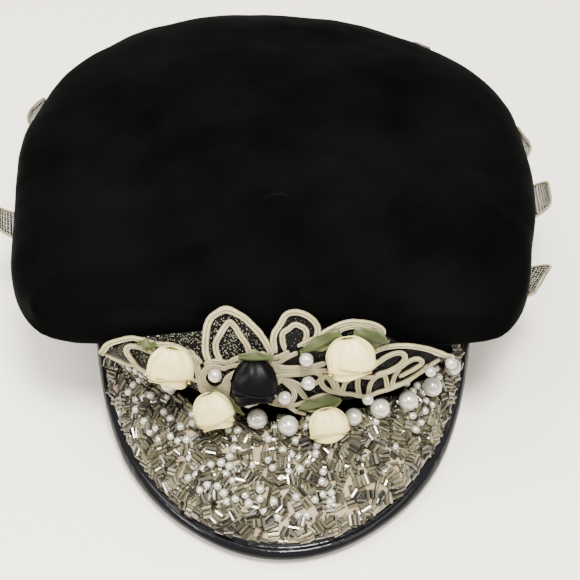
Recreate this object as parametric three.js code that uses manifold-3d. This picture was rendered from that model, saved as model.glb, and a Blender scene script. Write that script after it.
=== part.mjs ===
// A lady's captain cap of black velvet: a wide soft crown on a band, and a beaded peak edged with
// glossy piping. An applique of cream cord, ribbon roses and pearls is sewn over the front.
// Millimetres. The cap is built level on its band, with -Y to the front and +Z up, and is then
// tipped as it rests on a table: on the back of the band and the front edge of the peak.
import * as THREE from "three";
import Module from "manifold-3d";
import { mergeVertices } from "three/addons/utils/BufferGeometryUtils.js";

const wasm = await Module();
wasm.setup();

const RAD = Math.PI / 180;
const GAP = 0.3; // between pieces that are sewn to each other

// Band: an egg-shaped ring for a head of 55 cm
const BAND = { halfWidth: 93, front: 77.2, back: 98, centreY: 5, height: 40, wall: 2.5, sides: 48 };
const REST_TILT = 10; // degrees that the peak lifts the front of the band off the table
const BACK_Y = BAND.centreY + BAND.back;

// Crown: velvet on a thin stiffening, gathered into the top of the band
const CROWN = { centreX: -3, centreY: 50, wall: 2.5, middleHeight: 103, square: 2.7, deepestFold: 5 };
const CROWN_MESH = { sides: 48, underRows: 3, overRows: 8 };
// Each row is a bearing from the front, in degrees, with how far the rim reaches from the crown's
// middle, how high the rim is, and how high the puffed shoulder above it is.
const CROWN_RIM = [
  { bearing: 0, reach: 119, rim: 57, crest: 87 },
  { bearing: 24, reach: 128, rim: 55, crest: 88 },
  { bearing: 33, reach: 138, rim: 55, crest: 90 },
  { bearing: 43, reach: 156, rim: 52, crest: 92 },
  { bearing: 65, reach: 139, rim: 58, crest: 95 },
  { bearing: 90, reach: 133, rim: 61, crest: 98 },
  { bearing: 120, reach: 135, rim: 66, crest: 102 },
  { bearing: 150, reach: 129, rim: 72, crest: 105 },
  { bearing: 180, reach: 129, rim: 75, crest: 106 },
  { bearing: 205, reach: 138, rim: 73, crest: 106 },
  { bearing: 230, reach: 144, rim: 68, crest: 104 },
  { bearing: 255, reach: 140, rim: 63, crest: 100 },
  { bearing: 285, reach: 137, rim: 59, crest: 96 },
  { bearing: 315, reach: 158, rim: 52, crest: 92 },
  { bearing: 327, reach: 139, rim: 55, crest: 90 },
  { bearing: 336, reach: 127, rim: 55, crest: 88 },
];
// Folds of the velvet: each is a ridge, or a hollow where the height is negative, along a line
// that is seen from above, fading out sideways over its spread.
const CROWN_FOLDS = [
  { fromX: -108, fromY: -60, toX: -43, toY: -38, height: 4, spread: 8 }, // left half of the brow
  { fromX: -43, fromY: -38, toX: -2, toY: -21, height: 4.5, spread: 8 },
  { fromX: -2, fromY: -21, toX: 18, toY: -32, height: 3.5, spread: 7 },
  { fromX: -21, fromY: -34, toX: 12, toY: -61, height: 3, spread: 6 }, // slants down to the flower
  { fromX: 12, fromY: -61, toX: 40, toY: -66, height: 3, spread: 6 },
  { fromX: 40, fromY: -66, toX: 52, toY: -58, height: 3, spread: 6 },
  { fromX: 52, fromY: -58, toX: 86, toY: -66, height: 3, spread: 7 },
  { fromX: 34, fromY: -52, toX: 62, toY: -34, height: 3.5, spread: 7 }, // right half of the brow
  { fromX: 62, fromY: -34, toX: 100, toY: -18, height: 2.5, spread: 10 },
  { fromX: -70, fromY: -66, toX: -14, toY: -48, height: -3.5, spread: 12 }, // flat front under the brow
  { fromX: 8, fromY: -44, toX: 26, toY: -50, height: -4, spread: 9 },
  { fromX: 66, fromY: -52, toX: 92, toY: -46, height: -2, spread: 10 },
];

// Peak: a stiff half-moon from the foot of the band down to the table
const PEAK = {
  halfWidth: 97,
  depth: 139,
  centreY: 9.4,
  rootUp: 2,
  wall: 2.5,
  bulge: 3.5,
  tipRise: 15,
  tipStart: 0.6,
  sweep: 82,
  innerSweep: 80,
};
const TIP_CLEARANCE = 2.5; // between the piping and the band, where the peak runs out
const PIPING = { width: 10, thickness: 6.4, lift: 3.2, grip: 4 };
const BEAD_BED = { thickness: 2.2, inset: 2 }; // beads crusted over a sewn ground

// Applique: everything on it is placed in a flat pattern, across and up from the foot of the band,
// which is then laid on a surface that stands just off the band and the crown behind it.
const FRONT_DRAPE = [
  { up: -6, halfWidth: 101, front: 83, square: 2 },
  { up: 0, halfWidth: 99, front: 80, square: 2.1 },
  { up: 15, halfWidth: 99, front: 78.4, square: 2.3 },
  { up: 30, halfWidth: 100, front: 78, square: 3 },
  { up: 45, halfWidth: 102, front: 77.7, square: 4.5 },
  { up: 60, halfWidth: 102, front: 77, square: 4.5 },
  { up: 72, halfWidth: 100, front: 74, square: 4 },
  { up: 80, halfWidth: 98, front: 70, square: 4 },
];
const NET_THICK = 1;
const NET_MESH = { columns: 26, rows: 3 };
const CORD = { width: 3.3, thick: 1.7, step: 9, archSteps: 9, ride: 0.17 };
const CORD_LEVEL = NET_THICK + 3 * GAP; // how far the cords' backs stand off the pattern's surface
const TOP_LEVEL = CORD_LEVEL + CORD.thick + GAP; // and the backs of the roses, leaves and pearls
// A sewn rose is pressed flatter than it is wide, and its tipped calyx sinks into the braid.
const ROSE = { sides: 12, flat: 0.66, petals: 3, petalRelief: 0.05, hang: 0.35 };
const ROSE_LEAF = { thick: 1, fold: 1.6, steps: 6, blunt: 0.6 };

// Metal net under the cords: the height of its lower and upper edge at places across.
const NET_LEFT = [
  { across: -81, low: 33, high: 41 },
  { across: -77, low: 32, high: 46 },
  { across: -66, low: 28, high: 54 },
  { across: -54, low: 26, high: 57 },
  { across: -42, low: 22, high: 59 },
  { across: -36, low: 18, high: 60 },
  { across: -31, low: 20, high: 67 },
  { across: -25, low: 18, high: 69.5 },
  { across: -17, low: 14, high: 66 },
  { across: -10, low: 16, high: 58 },
  { across: -6, low: 19, high: 50 },
];
const NET_RIGHT = [
  { across: -5, low: 15, high: 53 },
  { across: 0, low: 14, high: 65 },
  { across: 6, low: 14, high: 69 },
  { across: 13, low: 15, high: 66 },
  { across: 20, low: 16, high: 60 },
  { across: 30, low: 16, high: 64 },
  { across: 40, low: 17, high: 63 },
  { across: 46, low: 17, high: 58 },
  { across: 56, low: 20, high: 50 },
  { across: 68, low: 29, high: 47 },
  { across: 77, low: 36, high: 41 },
];
// Cords: each runs from one point of the pattern over a second to a third, either as a round arch
// or as a plain bow.
const FLOWER_CORDS = [
  { shape: "arch", from: [-33, 42], over: [-25, 70], to: [-5, 48] },
  { shape: "arch", from: [-28, 44], over: [-23, 65], to: [-14, 48] },
  { shape: "arch", from: [-3, 51], over: [6, 70], to: [12, 54] },
  { shape: "arch", from: [1, 51], over: [6, 64], to: [10, 56] },
  { shape: "arch", from: [-37, 37], over: [-31, 44], to: [-25, 37] },
  { shape: "arch", from: [-37, 37], over: [-31, 30], to: [-25, 37] },
  { shape: "bow", from: [-34, 45], over: [-40, 34], to: [-36, 20] },
  { shape: "bow", from: [-38, 22], over: [-21, 17], to: [-8, 21] },
  { shape: "bow", from: [-6, 50], over: [-1, 36], to: [-9, 20] },
  { shape: "arch", from: [-7, 22], over: [3, 16], to: [3, 28] },
  { shape: "bow", from: [3, 17], over: [15, 21.5], to: [26, 18.5] },
  { shape: "bow", from: [-2, 44], over: [8, 39], to: [19, 38] },
  { shape: "arch", from: [-1, 38], over: [18, 33], to: [-1, 30] },
  { shape: "bow", from: [-34, 45], over: [-20, 49], to: [-3, 50] },
  { shape: "bow", from: [9, 54], over: [31, 67], to: [46, 59] },
];
const RIGHT_CORDS = [
  { shape: "bow", from: [30, 47], over: [58, 52], to: [77, 38] },
  { shape: "bow", from: [24, 30], over: [41, 16], to: [76, 37] },
  { shape: "bow", from: [24, 34], over: [46, 31.5], to: [68, 39] },
  { shape: "arch", from: [36, 36], over: [56, 45], to: [42, 31] },
  { shape: "bow", from: [26, 33], over: [29, 28], to: [32, 22] },
  { shape: "bow", from: [36, 33], over: [36.5, 26], to: [36, 20] },
  { shape: "bow", from: [49, 32], over: [46, 27], to: [44, 21] },
  { shape: "bow", from: [54, 33], over: [56, 29], to: [56, 24] },
];
const LEFT_CORDS = [
  { shape: "bow", from: [-43, 47], over: [-67, 53.5], to: [-84, 34] },
  { shape: "arch", from: [-58, 50.5], over: [-73, 43], to: [-61, 31] },
  { shape: "bow", from: [-83, 36], over: [-76, 34], to: [-70, 36] },
  { shape: "bow", from: [-61, 32], over: [-53, 32], to: [-45, 30] },
];
// Ribbon roses: a bud with its calyx up and its mouth down, leaning across and tipped outwards.
const ROSES = [
  { name: "rose_left", across: -50, up: 48, width: 22, length: 16, lean: -8, tip: 22, sink: 0.9, finish: "cream" },
  { name: "rose_lower_left", across: -31.5, up: 20, width: 20, length: 16, lean: 22, tip: 30, sink: 0.4, finish: "cream" },
  { name: "rose_black", across: -13, up: 38, width: 22, length: 19, lean: 0, tip: 30, sink: 2.3, finish: "black" },
  { name: "rose_right", across: 30, up: 54, width: 23, length: 17, lean: 8, tip: 22, sink: 0.9, finish: "cream" },
  { name: "rose_lower_right", across: 20, up: 10.5, width: 19, length: 14, lean: 8, tip: 25, sink: 0, finish: "cream" },
];
// A rose's outline from calyx to mouth and back down into its rolled heart, as shares of its size
const ROSE_PROFILE = [
  { along: 0, wide: 0.3 },
  { along: 0.12, wide: 0.68 },
  { along: 0.4, wide: 0.96 },
  { along: 0.75, wide: 1 },
  { along: 1, wide: 0.86 },
  { along: 0.96, wide: 0.66 },
  { along: 0.82, wide: 0.54 },
  { along: 0.86, wide: 0.3 },
];
const ROSE_LEAVES = [
  { name: "rose_leaf_1", root: [24, 62], tip: [8, 51], width: 7, level: 0.5 },
  { name: "rose_leaf_2", root: [34, 62.5], tip: [48, 56.5], width: 7.5, level: 0.5 },
  { name: "rose_leaf_3", root: [-19, 49], tip: [-5, 49.5], width: 6, level: 0.4 },
  { name: "rose_leaf_4", root: [-59, 53.5], tip: [-66, 55], width: 5, level: 0 },
  { name: "rose_leaf_5", root: [-29, 27], tip: [-17, 13], width: 5, level: 0 },
  { name: "rose_leaf_6", root: [26, 21], tip: [7, 15], width: 7, level: 0 },
];
// Pearls, by their diameter: some sewn on the cords, and larger ones along the top of the beading
const FLOWER_PEARLS = [
  { across: -31, up: 37, size: 6, sink: 2 },
  { across: -16, up: 21, size: 5.5, sink: 1 },
  { across: 11, up: 48, size: 6, sink: 0.4 },
  { across: 12, up: 34, size: 6, sink: 0 },
  { across: 1, up: 24, size: 6, sink: 0.6 },
  { across: 39, up: 21, size: 5, sink: 0.4 },
  { across: 67, up: 38, size: 4.6, sink: -0.2 },
  { across: 76, up: 41, size: 5, sink: 0.3 },
];
const PEAK_PEARLS = [
  { round: -0.09, inFromBand: 2.5, size: 9 },
  { round: 0.02, inFromBand: 5.6, size: 9 },
  { round: 0.255, inFromBand: 4.7, size: 8 },
  { round: 0.36, inFromBand: 4, size: 9 },
  { round: 0.48, inFromBand: 5.4, size: 9 },
  { round: 0.6, inFromBand: 4.5, size: 9 },
  { round: 0.74, inFromBand: 3, size: 8 },
];
// Two more on the band itself, where the left end of the beading climbs it
const BAND_PEARLS = [
  { bearing: -42.8, up: 17.2, size: 5.6 },
  { bearing: -33.8, up: 17.4, size: 8.3 },
];
// Net petals with a cord edge, sewn along the top of the band under the overhang of the crown
const SIDE_PETALS = [
  { bearing: 61, rootGap: 2.3, beyond: 8, tipUp: 50, halfWidth: 14 },
  { bearing: 87, rootGap: 2.6, beyond: 9, tipUp: 57, halfWidth: 13 },
  { bearing: 106, rootGap: 2.6, beyond: 5, tipUp: 62, halfWidth: 13 },
  { bearing: 143, rootGap: 1.3, beyond: 8, tipUp: 79, halfWidth: 9 },
  { bearing: 245, rootGap: 2.1, beyond: 7, tipUp: 67, halfWidth: 13 },
  { bearing: 281, rootGap: 2.5, beyond: 11, tipUp: 60, halfWidth: 11 },
];
const SIDE_PETAL = {
  rootUp: 28,
  underUp: BAND.height - 2,
  lipDrop: 8,
  end: 0.9,
  netSteps: 8,
  cordWidth: 2.6,
  cordThick: 1.6,
  cordLift: NET_THICK + 0.7,
  sideSteps: 7,
  tipSteps: 4,
};
const PEARL_SIDES = 10;

// Reads one column of a table of bearings, smoothly and round the whole circle.
function aroundRim(column, bearing) {
  const rows = CROWN_RIM.length;
  const turn = ((bearing % 360) + 360) % 360;
  let i = rows - 1;
  for (let k = 0; k < rows; k++) if (CROWN_RIM[k].bearing <= turn) i = k;
  const at = (k) => {
    const row = CROWN_RIM[((k % rows) + rows) % rows];
    return { x: row.bearing + 360 * Math.floor(k / rows), y: row[column] };
  };
  const [a, b, c, d] = [at(i - 1), at(i), at(i + 1), at(i + 2)];
  const span = c.x - b.x;
  const t = (turn - b.x) / span;
  const m1 = ((c.y - a.y) / (c.x - a.x)) * span;
  const m2 = ((d.y - b.y) / (d.x - b.x)) * span;
  return (
    b.y * (2 * t ** 3 - 3 * t ** 2 + 1) +
    m1 * (t ** 3 - 2 * t ** 2 + t) +
    c.y * (-2 * t ** 3 + 3 * t ** 2) +
    m2 * (t ** 3 - t ** 2)
  );
}

// A point of the band's outline at a bearing from the front, grown outwards by some millimetres.
function bandPoint(bearing, z, grow = 0) {
  const side = Math.sin(bearing * RAD);
  const fore = Math.cos(bearing * RAD);
  const length = fore > 0 ? BAND.front : BAND.back;
  return new THREE.Vector3((BAND.halfWidth + grow) * side, BAND.centreY - (length + grow) * fore, z);
}

// Joins rings of equal count into one closed skin. The first and last entries may be single points.
function skin(rings, closedAcross = false) {
  const positions = [];
  const triangle = (a, b, c) => [a, b, c].forEach((p) => positions.push(p.x, p.y, p.z));
  const strips = closedAcross ? rings.length : rings.length - 1;
  for (let k = 0; k < strips; k++) {
    const low = rings[k];
    const high = rings[(k + 1) % rings.length];
    const count = Math.max(low.length, high.length);
    for (let i = 0; i < count; i++) {
      const j = (i + 1) % count;
      const [a, b] = low.length === 1 ? [low[0], low[0]] : [low[i], low[j]];
      const [d, c] = high.length === 1 ? [high[0], high[0]] : [high[i], high[j]];
      if (low.length > 1) triangle(a, b, c);
      if (high.length > 1) triangle(a, c, d);
    }
  }
  const geometry = new THREE.BufferGeometry();
  geometry.setAttribute("position", new THREE.Float32BufferAttribute(positions, 3));
  geometry.computeVertexNormals();
  return geometry;
}

// Crown
function crownPoint(bearing, row) {
  const start = bandPoint(bearing, BAND.height + GAP);
  const reach = aroundRim("reach", bearing);
  const rim = new THREE.Vector3(
    CROWN.centreX + reach * Math.sin(bearing * RAD),
    CROWN.centreY - reach * Math.cos(bearing * RAD),
    aroundRim("rim", bearing),
  );
  if (row <= CROWN_MESH.underRows) {
    const turn = (row / CROWN_MESH.underRows) * 90 * RAD;
    const out = Math.sin(turn);
    const up = 1 - Math.cos(turn);
    return new THREE.Vector3(
      THREE.MathUtils.lerp(start.x, rim.x, out),
      THREE.MathUtils.lerp(start.y, rim.y, out),
      THREE.MathUtils.lerp(start.z, rim.z, up),
    );
  }
  const turn = ((row - CROWN_MESH.underRows) / CROWN_MESH.overRows) * 90 * RAD;
  const share = Math.cos(turn) ** (2 / CROWN.square);
  const rise = Math.sin(turn) ** (2 / CROWN.square);
  const crest = THREE.MathUtils.lerp(CROWN.middleHeight, aroundRim("crest", bearing), share);
  return new THREE.Vector3(
    THREE.MathUtils.lerp(CROWN.centreX, rim.x, share),
    THREE.MathUtils.lerp(CROWN.centreY, rim.y, share),
    THREE.MathUtils.lerp(rim.z, crest, rise),
  );
}

// How far the folds lift a point of the crown.
function foldLift(point) {
  let lift = 0;
  for (const { fromX, fromY, toX, toY, height, spread } of CROWN_FOLDS) {
    const line = new THREE.Line3(new THREE.Vector3(fromX, fromY, 0), new THREE.Vector3(toX, toY, 0));
    const flat = point.clone().setZ(0);
    const away = line.closestPointToPoint(flat, true, new THREE.Vector3()).distanceTo(flat);
    lift += height * Math.exp(-((away / spread) ** 2));
  }
  return THREE.MathUtils.clamp(lift, -CROWN.deepestFold, CROWN.deepestFold);
}

function crownGeometry() {
  const last = CROWN_MESH.underRows + CROWN_MESH.overRows;
  const step = 360 / CROWN_MESH.sides;
  const outer = [];
  const inner = [];
  for (let row = 0; row < last; row++) {
    outer.push([]);
    inner.push([]);
    for (let i = 0; i < CROWN_MESH.sides; i++) {
      const bearing = i * step;
      const here = crownPoint(bearing, row);
      const along = crownPoint(bearing + 1, row).sub(crownPoint(bearing - 1, row));
      const across = crownPoint(bearing, row + 0.05).sub(crownPoint(bearing, Math.max(row - 0.05, 0)));
      const inward = across.cross(along).normalize();
      if (row > CROWN_MESH.underRows) here.addScaledVector(inward, -foldLift(here));
      outer[row].push(here);
      inner[row].push(here.clone().addScaledVector(inward, CROWN.wall));
    }
  }
  inner[0] = outer[0].map((p, i) => bandPoint(i * step, p.z, -CROWN.wall));
  const top = crownPoint(0, last);
  const topInside = top.clone().setZ(top.z - CROWN.wall);
  return skin([[topInside], ...inner.reverse(), ...outer, [top]]);
}

// Band
function bandGeometry() {
  const { height, wall, sides } = BAND;
  const ring = (z, grow) => Array.from({ length: sides }, (_, i) => bandPoint((i * 360) / sides, z, grow));
  return skin([ring(0, -wall), ring(0, 0), ring(height, 0), ring(height, -wall)], true);
}

// The height of the table under the tipped cap, measured in the band's own upright frame.
function tableHeight(y) {
  return (y - BACK_Y) * Math.tan(REST_TILT * RAD);
}

// Peak: a point at a share from -1 to 1 round the peak, and from 0 at the band to 1 at its edge.
function peakPoint(round, out) {
  const inner = bandPoint(round * PEAK.innerSweep, PEAK.rootUp, GAP);
  const angle = round * PEAK.sweep * RAD;
  const edge = new THREE.Vector3();
  edge.x = PEAK.halfWidth * Math.sin(angle);
  edge.y = PEAK.centreY - PEAK.depth * Math.cos(angle);
  const rising = THREE.MathUtils.smoothstep(Math.abs(round), PEAK.tipStart, 1);
  edge.z = tableHeight(edge.y) + PIPING.lift + PEAK.tipRise * rising;
  const point = inner.lerp(edge, out);
  point.z += PEAK.bulge * Math.sin(Math.PI * out) * (1 - round ** 4);
  return point;
}

// A point at some millimetres in from the peak's edge, lifted off the middle of its thickness.
function onPeak(round, inFromEdge, lift) {
  const out = 1 - inFromEdge / peakPoint(round, 1).distanceTo(peakPoint(round, 0));
  const step = 0.01;
  const along = peakPoint(round + step, out).sub(peakPoint(round - step, out));
  const outward = peakPoint(round, out + step).sub(peakPoint(round, out - step));
  return peakPoint(round, out).addScaledVector(outward.cross(along).normalize(), lift);
}

// Places round the peak, out to a last one near each tip: every layer of the peak shares them.
function stations(tip) {
  const steps = 18;
  const places = [tip];
  for (let i = steps - 1; i > 0; i--) if (i / steps < tip - 0.01) places.push(i / steps);
  return [...places.map((place) => -place), 0, ...places.reverse()];
}

// A sheet that follows the peak between two heights over its surface.
function peakSheet({ low, high, fromBand, fromEdge, tip }) {
  const rows = 3;
  const columns = [];
  for (const round of stations(tip)) {
    const start = peakPoint(round, 1).distanceTo(peakPoint(round, 0)) - fromBand;
    const column = [];
    const put = (k, lift) => column.push(onPeak(round, THREE.MathUtils.lerp(start, fromEdge, k / rows), lift));
    for (let k = 0; k <= rows; k++) put(k, high);
    for (let k = rows; k >= 0; k--) put(k, low);
    columns.push(column);
  }
  return cappedSkin(columns);
}

// Closes both ends of a row of rings with a fan round each end ring's middle.
function cappedSkin(rings) {
  const middle = (ring) => [ring.reduce((sum, p) => sum.add(p), new THREE.Vector3()).divideScalar(ring.length)];
  return skin([middle(rings[0]), ...rings, middle(rings[rings.length - 1])]);
}

// Piping: a rounded fold of glossy cloth that grips the peak's edge from both sides.
function pipingGeometry() {
  const slot = PEAK.wall / 2 + 2 * GAP;
  const half = PIPING.thickness / 2;
  const rings = [];
  for (const round of stations(1)) {
    const room = peakPoint(round, 0).distanceTo(peakPoint(round, 1)) - TIP_CLEARANCE;
    const width = Math.min(PIPING.width, room);
    const mouth = width - PIPING.grip * (width / PIPING.width);
    const ring = [];
    const put = (inFromEdge, lift) => ring.push(onPeak(round, inFromEdge, lift));
    put(width, slot);
    put(width, half * 0.75);
    put(width * 0.5, half);
    for (const turn of [60, 30, 0, -30, -60]) put(half - half * Math.cos(turn * RAD), half * Math.sin(turn * RAD));
    put(width * 0.5, -half);
    put(width, -half * 0.75);
    put(width, -slot);
    put(mouth, -slot);
    put(mouth, slot);
    rings.push(ring);
  }
  return cappedSkin(rings);
}

// Applique: reads a table at a height, or at a place across, with straight lines between its rows.
function fromRows(rows, key, column, value) {
  const after = rows.findIndex((row) => row[key] >= value);
  if (after === 0) return rows[0][column];
  if (after < 0) return rows[rows.length - 1][column];
  const [a, b] = [rows[after - 1], rows[after]];
  return THREE.MathUtils.mapLinear(value, a[key], b[key], a[column], b[column]);
}

function drapePoint(across, up) {
  const halfWidth = fromRows(FRONT_DRAPE, "up", "halfWidth", up);
  const front = fromRows(FRONT_DRAPE, "up", "front", up);
  const square = fromRows(FRONT_DRAPE, "up", "square", up);
  const share = Math.min(Math.abs(across) / halfWidth, 0.999);
  return new THREE.Vector3(across, BAND.centreY - front * (1 - share ** square) ** (1 / square), up);
}

// The applique's own directions at a place of its pattern: across, up and outwards.
function drapeFrame(across, up) {
  const step = 1;
  const side = drapePoint(across + step, up).sub(drapePoint(across - step, up)).normalize();
  const rise = drapePoint(across, up + step).sub(drapePoint(across, up - step)).normalize();
  const out = side.clone().cross(rise).normalize();
  return { origin: drapePoint(across, up), side, rise: out.clone().cross(side), out };
}

function onApplique(across, up, level) {
  const { origin, out } = drapeFrame(across, up);
  return origin.addScaledVector(out, level);
}

function netGeometry(outline) {
  const { columns, rows } = NET_MESH;
  const first = outline[0].across;
  const last = outline[outline.length - 1].across;
  const rings = [];
  for (let i = 0; i <= columns; i++) {
    const across = THREE.MathUtils.lerp(first, last, i / columns);
    const low = fromRows(outline, "across", "low", across);
    const high = fromRows(outline, "across", "high", across);
    const ring = [];
    const put = (k, level) => ring.push(onApplique(across, THREE.MathUtils.lerp(low, high, k / rows), level));
    for (let k = 0; k <= rows; k++) put(k, 0);
    for (let k = rows; k >= 0; k--) put(k, NET_THICK);
    rings.push(ring);
  }
  return cappedSkin(rings);
}

// The path of one cord in the flat pattern.
function cordPath({ shape, from, over, to }, share) {
  const [a, crest, b] = [from, over, to].map((point) => new THREE.Vector2(...point));
  const middle = a.clone().add(b).divideScalar(2);
  if (shape === "arch") {
    const turn = Math.PI * share;
    const rise = crest.sub(middle);
    const base = b.sub(a).divideScalar(2);
    return middle.addScaledVector(base, -Math.cos(turn)).addScaledVector(rise, Math.sin(turn));
  }
  const control = crest.multiplyScalar(2).sub(middle);
  return new THREE.QuadraticBezierCurve(a, control, b).getPoint(share);
}

// One cord: a flat braid with its edges rounded off. Neighbours in the list ride a little over
// each other where they cross.
function cordSolid(row, order) {
  const length = cordPath(row, 0).distanceTo(cordPath(row, 1));
  const steps = row.shape === "arch" ? CORD.archSteps : Math.ceil(length / CORD.step) + 2;
  const { width, thick } = CORD;
  const base = CORD_LEVEL + CORD.ride * (order % 3);
  const rings = [];
  for (let i = 0; i <= steps; i++) {
    const share = i / steps;
    const here = cordPath(row, share);
    const along = cordPath(row, share + 0.01).sub(cordPath(row, share - 0.01)).normalize();
    const put = (sideways, level) =>
      onApplique(here.x - along.y * sideways, here.y + along.x * sideways, base + level);
    rings.push([put(width / 2, 0), put(width / 3, thick), put(-width / 3, thick), put(-width / 2, 0)]);
  }
  return toSolid(cappedSkin(rings));
}

// Joining
function toSolid(geometry) {
  const bare = geometry.clone();
  bare.deleteAttribute("normal");
  const merged = mergeVertices(bare, 1e-4);
  return new wasm.Manifold(
    new wasm.Mesh({
      numProp: 3,
      vertProperties: merged.attributes.position.array,
      triVerts: new Uint32Array(merged.index.array),
    }),
  );
}

function toGeometry(solid) {
  const mesh = solid.getMesh();
  const geometry = new THREE.BufferGeometry();
  geometry.setAttribute("position", new THREE.BufferAttribute(new Float32Array(mesh.vertProperties), 3));
  geometry.setIndex(new THREE.BufferAttribute(new Uint32Array(mesh.triVerts), 1));
  geometry.computeVertexNormals();
  return geometry;
}

// Cords are sewn to each other wherever they cross, so a group of them is one piece.
function cordGroup(rows) {
  return toGeometry(rows.map(cordSolid).reduce((joined, cord) => joined.add(cord)));
}

function roseGeometry({ across, up, width, length, lean, tip, sink }) {
  const { sides, flat, petals, petalRelief, hang } = ROSE;
  const depth = width * flat;
  const { side, rise, out } = drapeFrame(across, up);
  const down = rise.clone().negate().applyAxisAngle(out, lean * RAD).applyAxisAngle(side, -tip * RAD);
  const wide = out.clone().cross(down).normalize();
  const deep = down.clone().cross(wide).normalize();
  const backing = (depth / 2) * Math.cos(tip * RAD) + hang * (length / 2) * Math.sin(tip * RAD);
  const level = TOP_LEVEL - sink + backing;
  const calyx = onApplique(across, up, level).addScaledVector(down, -length / 2);
  const rings = ROSE_PROFILE.map((row, k) => {
    const ring = [];
    for (let i = 0; i < sides; i++) {
      const turn = (i / sides) * 2 * Math.PI;
      const petal = 1 + (k > 0 ? petalRelief : 0) * Math.cos(petals * turn + k);
      ring.push(
        calyx
          .clone()
          .addScaledVector(down, row.along * length)
          .addScaledVector(wide, (width / 2) * row.wide * petal * Math.cos(turn))
          .addScaledVector(deep, (depth / 2) * row.wide * petal * Math.sin(turn)),
      );
    }
    return ring;
  });
  return cappedSkin(rings);
}

// A ribbon leaf, folded along its middle.
function leafGeometry({ root, tip, width, level }) {
  const { steps, thick, fold, blunt } = ROSE_LEAF;
  const [a, b] = [new THREE.Vector2(...root), new THREE.Vector2(...tip)];
  const along = b.clone().sub(a).normalize();
  const rings = [];
  for (let i = 0; i <= steps; i++) {
    const share = i / steps;
    const here = a.clone().lerp(b, share);
    const half = Math.max((width / 2) * Math.sin(Math.PI * (0.06 + 0.9 * share)) ** 0.7, blunt);
    const put = (sideways, lift) =>
      onApplique(here.x - along.y * sideways, here.y + along.x * sideways, TOP_LEVEL + level + lift);
    const crease = fold * Math.sin(Math.PI * share);
    rings.push([
      put(0, crease),
      put(half, 0),
      put(half, thick),
      put(0, crease + thick),
      put(-half, thick),
      put(-half, 0),
    ]);
  }
  return cappedSkin(rings);
}

function pearlGeometry(size) {
  return new THREE.SphereGeometry(size / 2, PEARL_SIDES, PEARL_SIDES / 2);
}

// Side petals: a path from the band, under the crown and round its rim.
function petalSpine(petal, share) {
  const rim = aroundRim("rim", petal.bearing);
  const reach = aroundRim("reach", petal.bearing);
  const away = new THREE.Vector2(Math.sin(petal.bearing * RAD), -Math.cos(petal.bearing * RAD));
  const at = (distance, up) =>
    new THREE.Vector3(CROWN.centreX + away.x * distance, CROWN.centreY + away.y * distance, up);
  const root = petalRoot(away) + petal.rootGap;
  const start = at(root, SIDE_PETAL.rootUp);
  const under = at(THREE.MathUtils.lerp(root, reach, 0.6), SIDE_PETAL.underUp);
  const lip = at(reach + petal.beyond * 0.6, rim - SIDE_PETAL.lipDrop);
  const tip = at(reach + petal.beyond, petal.tipUp);
  return new THREE.CatmullRomCurve3([start, under, lip, tip]).getPoint(share);
}

// How far from the crown's middle the band's outside lies in a direction.
function petalRoot(away) {
  let distance = 0;
  const inside = () => {
    const x = CROWN.centreX + away.x * distance;
    const y = CROWN.centreY + away.y * distance - BAND.centreY;
    const length = y < 0 ? BAND.front : BAND.back;
    return (x / BAND.halfWidth) ** 2 + (y / length) ** 2 < 1;
  };
  const step = 0.25;
  while (inside()) distance += step;
  return distance;
}

// A point of a side petal: a share along its spine, some millimetres across it and above it.
function onPetal(petal, share, sideways, lift) {
  const across = new THREE.Vector3(Math.cos(petal.bearing * RAD), Math.sin(petal.bearing * RAD), 0);
  const along = petalSpine(petal, Math.min(share + 0.01, 1)).sub(petalSpine(petal, Math.max(share - 0.01, 0)));
  const up = across.clone().cross(along.normalize());
  return petalSpine(petal, share).addScaledVector(across, sideways).addScaledVector(up, lift);
}

function petalHalf(petal, share) {
  return petal.halfWidth * Math.sin(Math.PI * (0.12 + 0.8 * share)) ** 0.8;
}

function petalNet(petal) {
  const { netSteps, end } = SIDE_PETAL;
  const rings = [];
  for (let i = 0; i <= netSteps; i++) {
    const share = (end * i) / netSteps;
    const half = petalHalf(petal, share);
    const put = (sideways, lift) => onPetal(petal, share, sideways, lift);
    rings.push([put(-half, NET_THICK), put(half, NET_THICK), put(half, 0), put(-half, 0)]);
  }
  return cappedSkin(rings);
}

// The cord that edges a side petal: up one side, round the tip and down the other.
function petalCord(petal) {
  const { end, cordWidth, cordThick, cordLift, tipSteps, sideSteps } = SIDE_PETAL;
  const outline = [];
  for (let i = 0; i < sideSteps; i++) {
    const share = (end * i) / sideSteps;
    outline.push([share, cordWidth / 2 - petalHalf(petal, share)]);
  }
  const tipHalf = petalHalf(petal, end) - cordWidth / 2;
  for (let i = 0; i <= tipSteps; i++) {
    const turn = (i / tipSteps) * Math.PI;
    outline.push([end - (1 - end) * (1 - Math.sin(turn)) * 0.3, -tipHalf * Math.cos(turn)]);
  }
  for (let i = sideSteps - 1; i >= 0; i--) outline.push([outline[i][0], -outline[i][1]]);
  const middle = outline.map(([share, sideways]) => onPetal(petal, share, sideways, cordLift));
  const rings = outline.map(([share, sideways], i) => {
    const here = middle[i];
    const along = middle[Math.min(i + 1, middle.length - 1)].clone().sub(middle[Math.max(i - 1, 0)]).normalize();
    const up = onPetal(petal, share, sideways, cordLift + 1).sub(here).normalize();
    const out = up.clone().cross(along).normalize();
    const put = (sidestep, lift) => here.clone().addScaledVector(out, sidestep).addScaledVector(up, lift);
    return [
      put(cordWidth / 2, 0),
      put(cordWidth / 3, cordThick),
      put(-cordWidth / 3, cordThick),
      put(-cordWidth / 2, 0),
    ];
  });
  return cappedSkin(rings);
}

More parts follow.
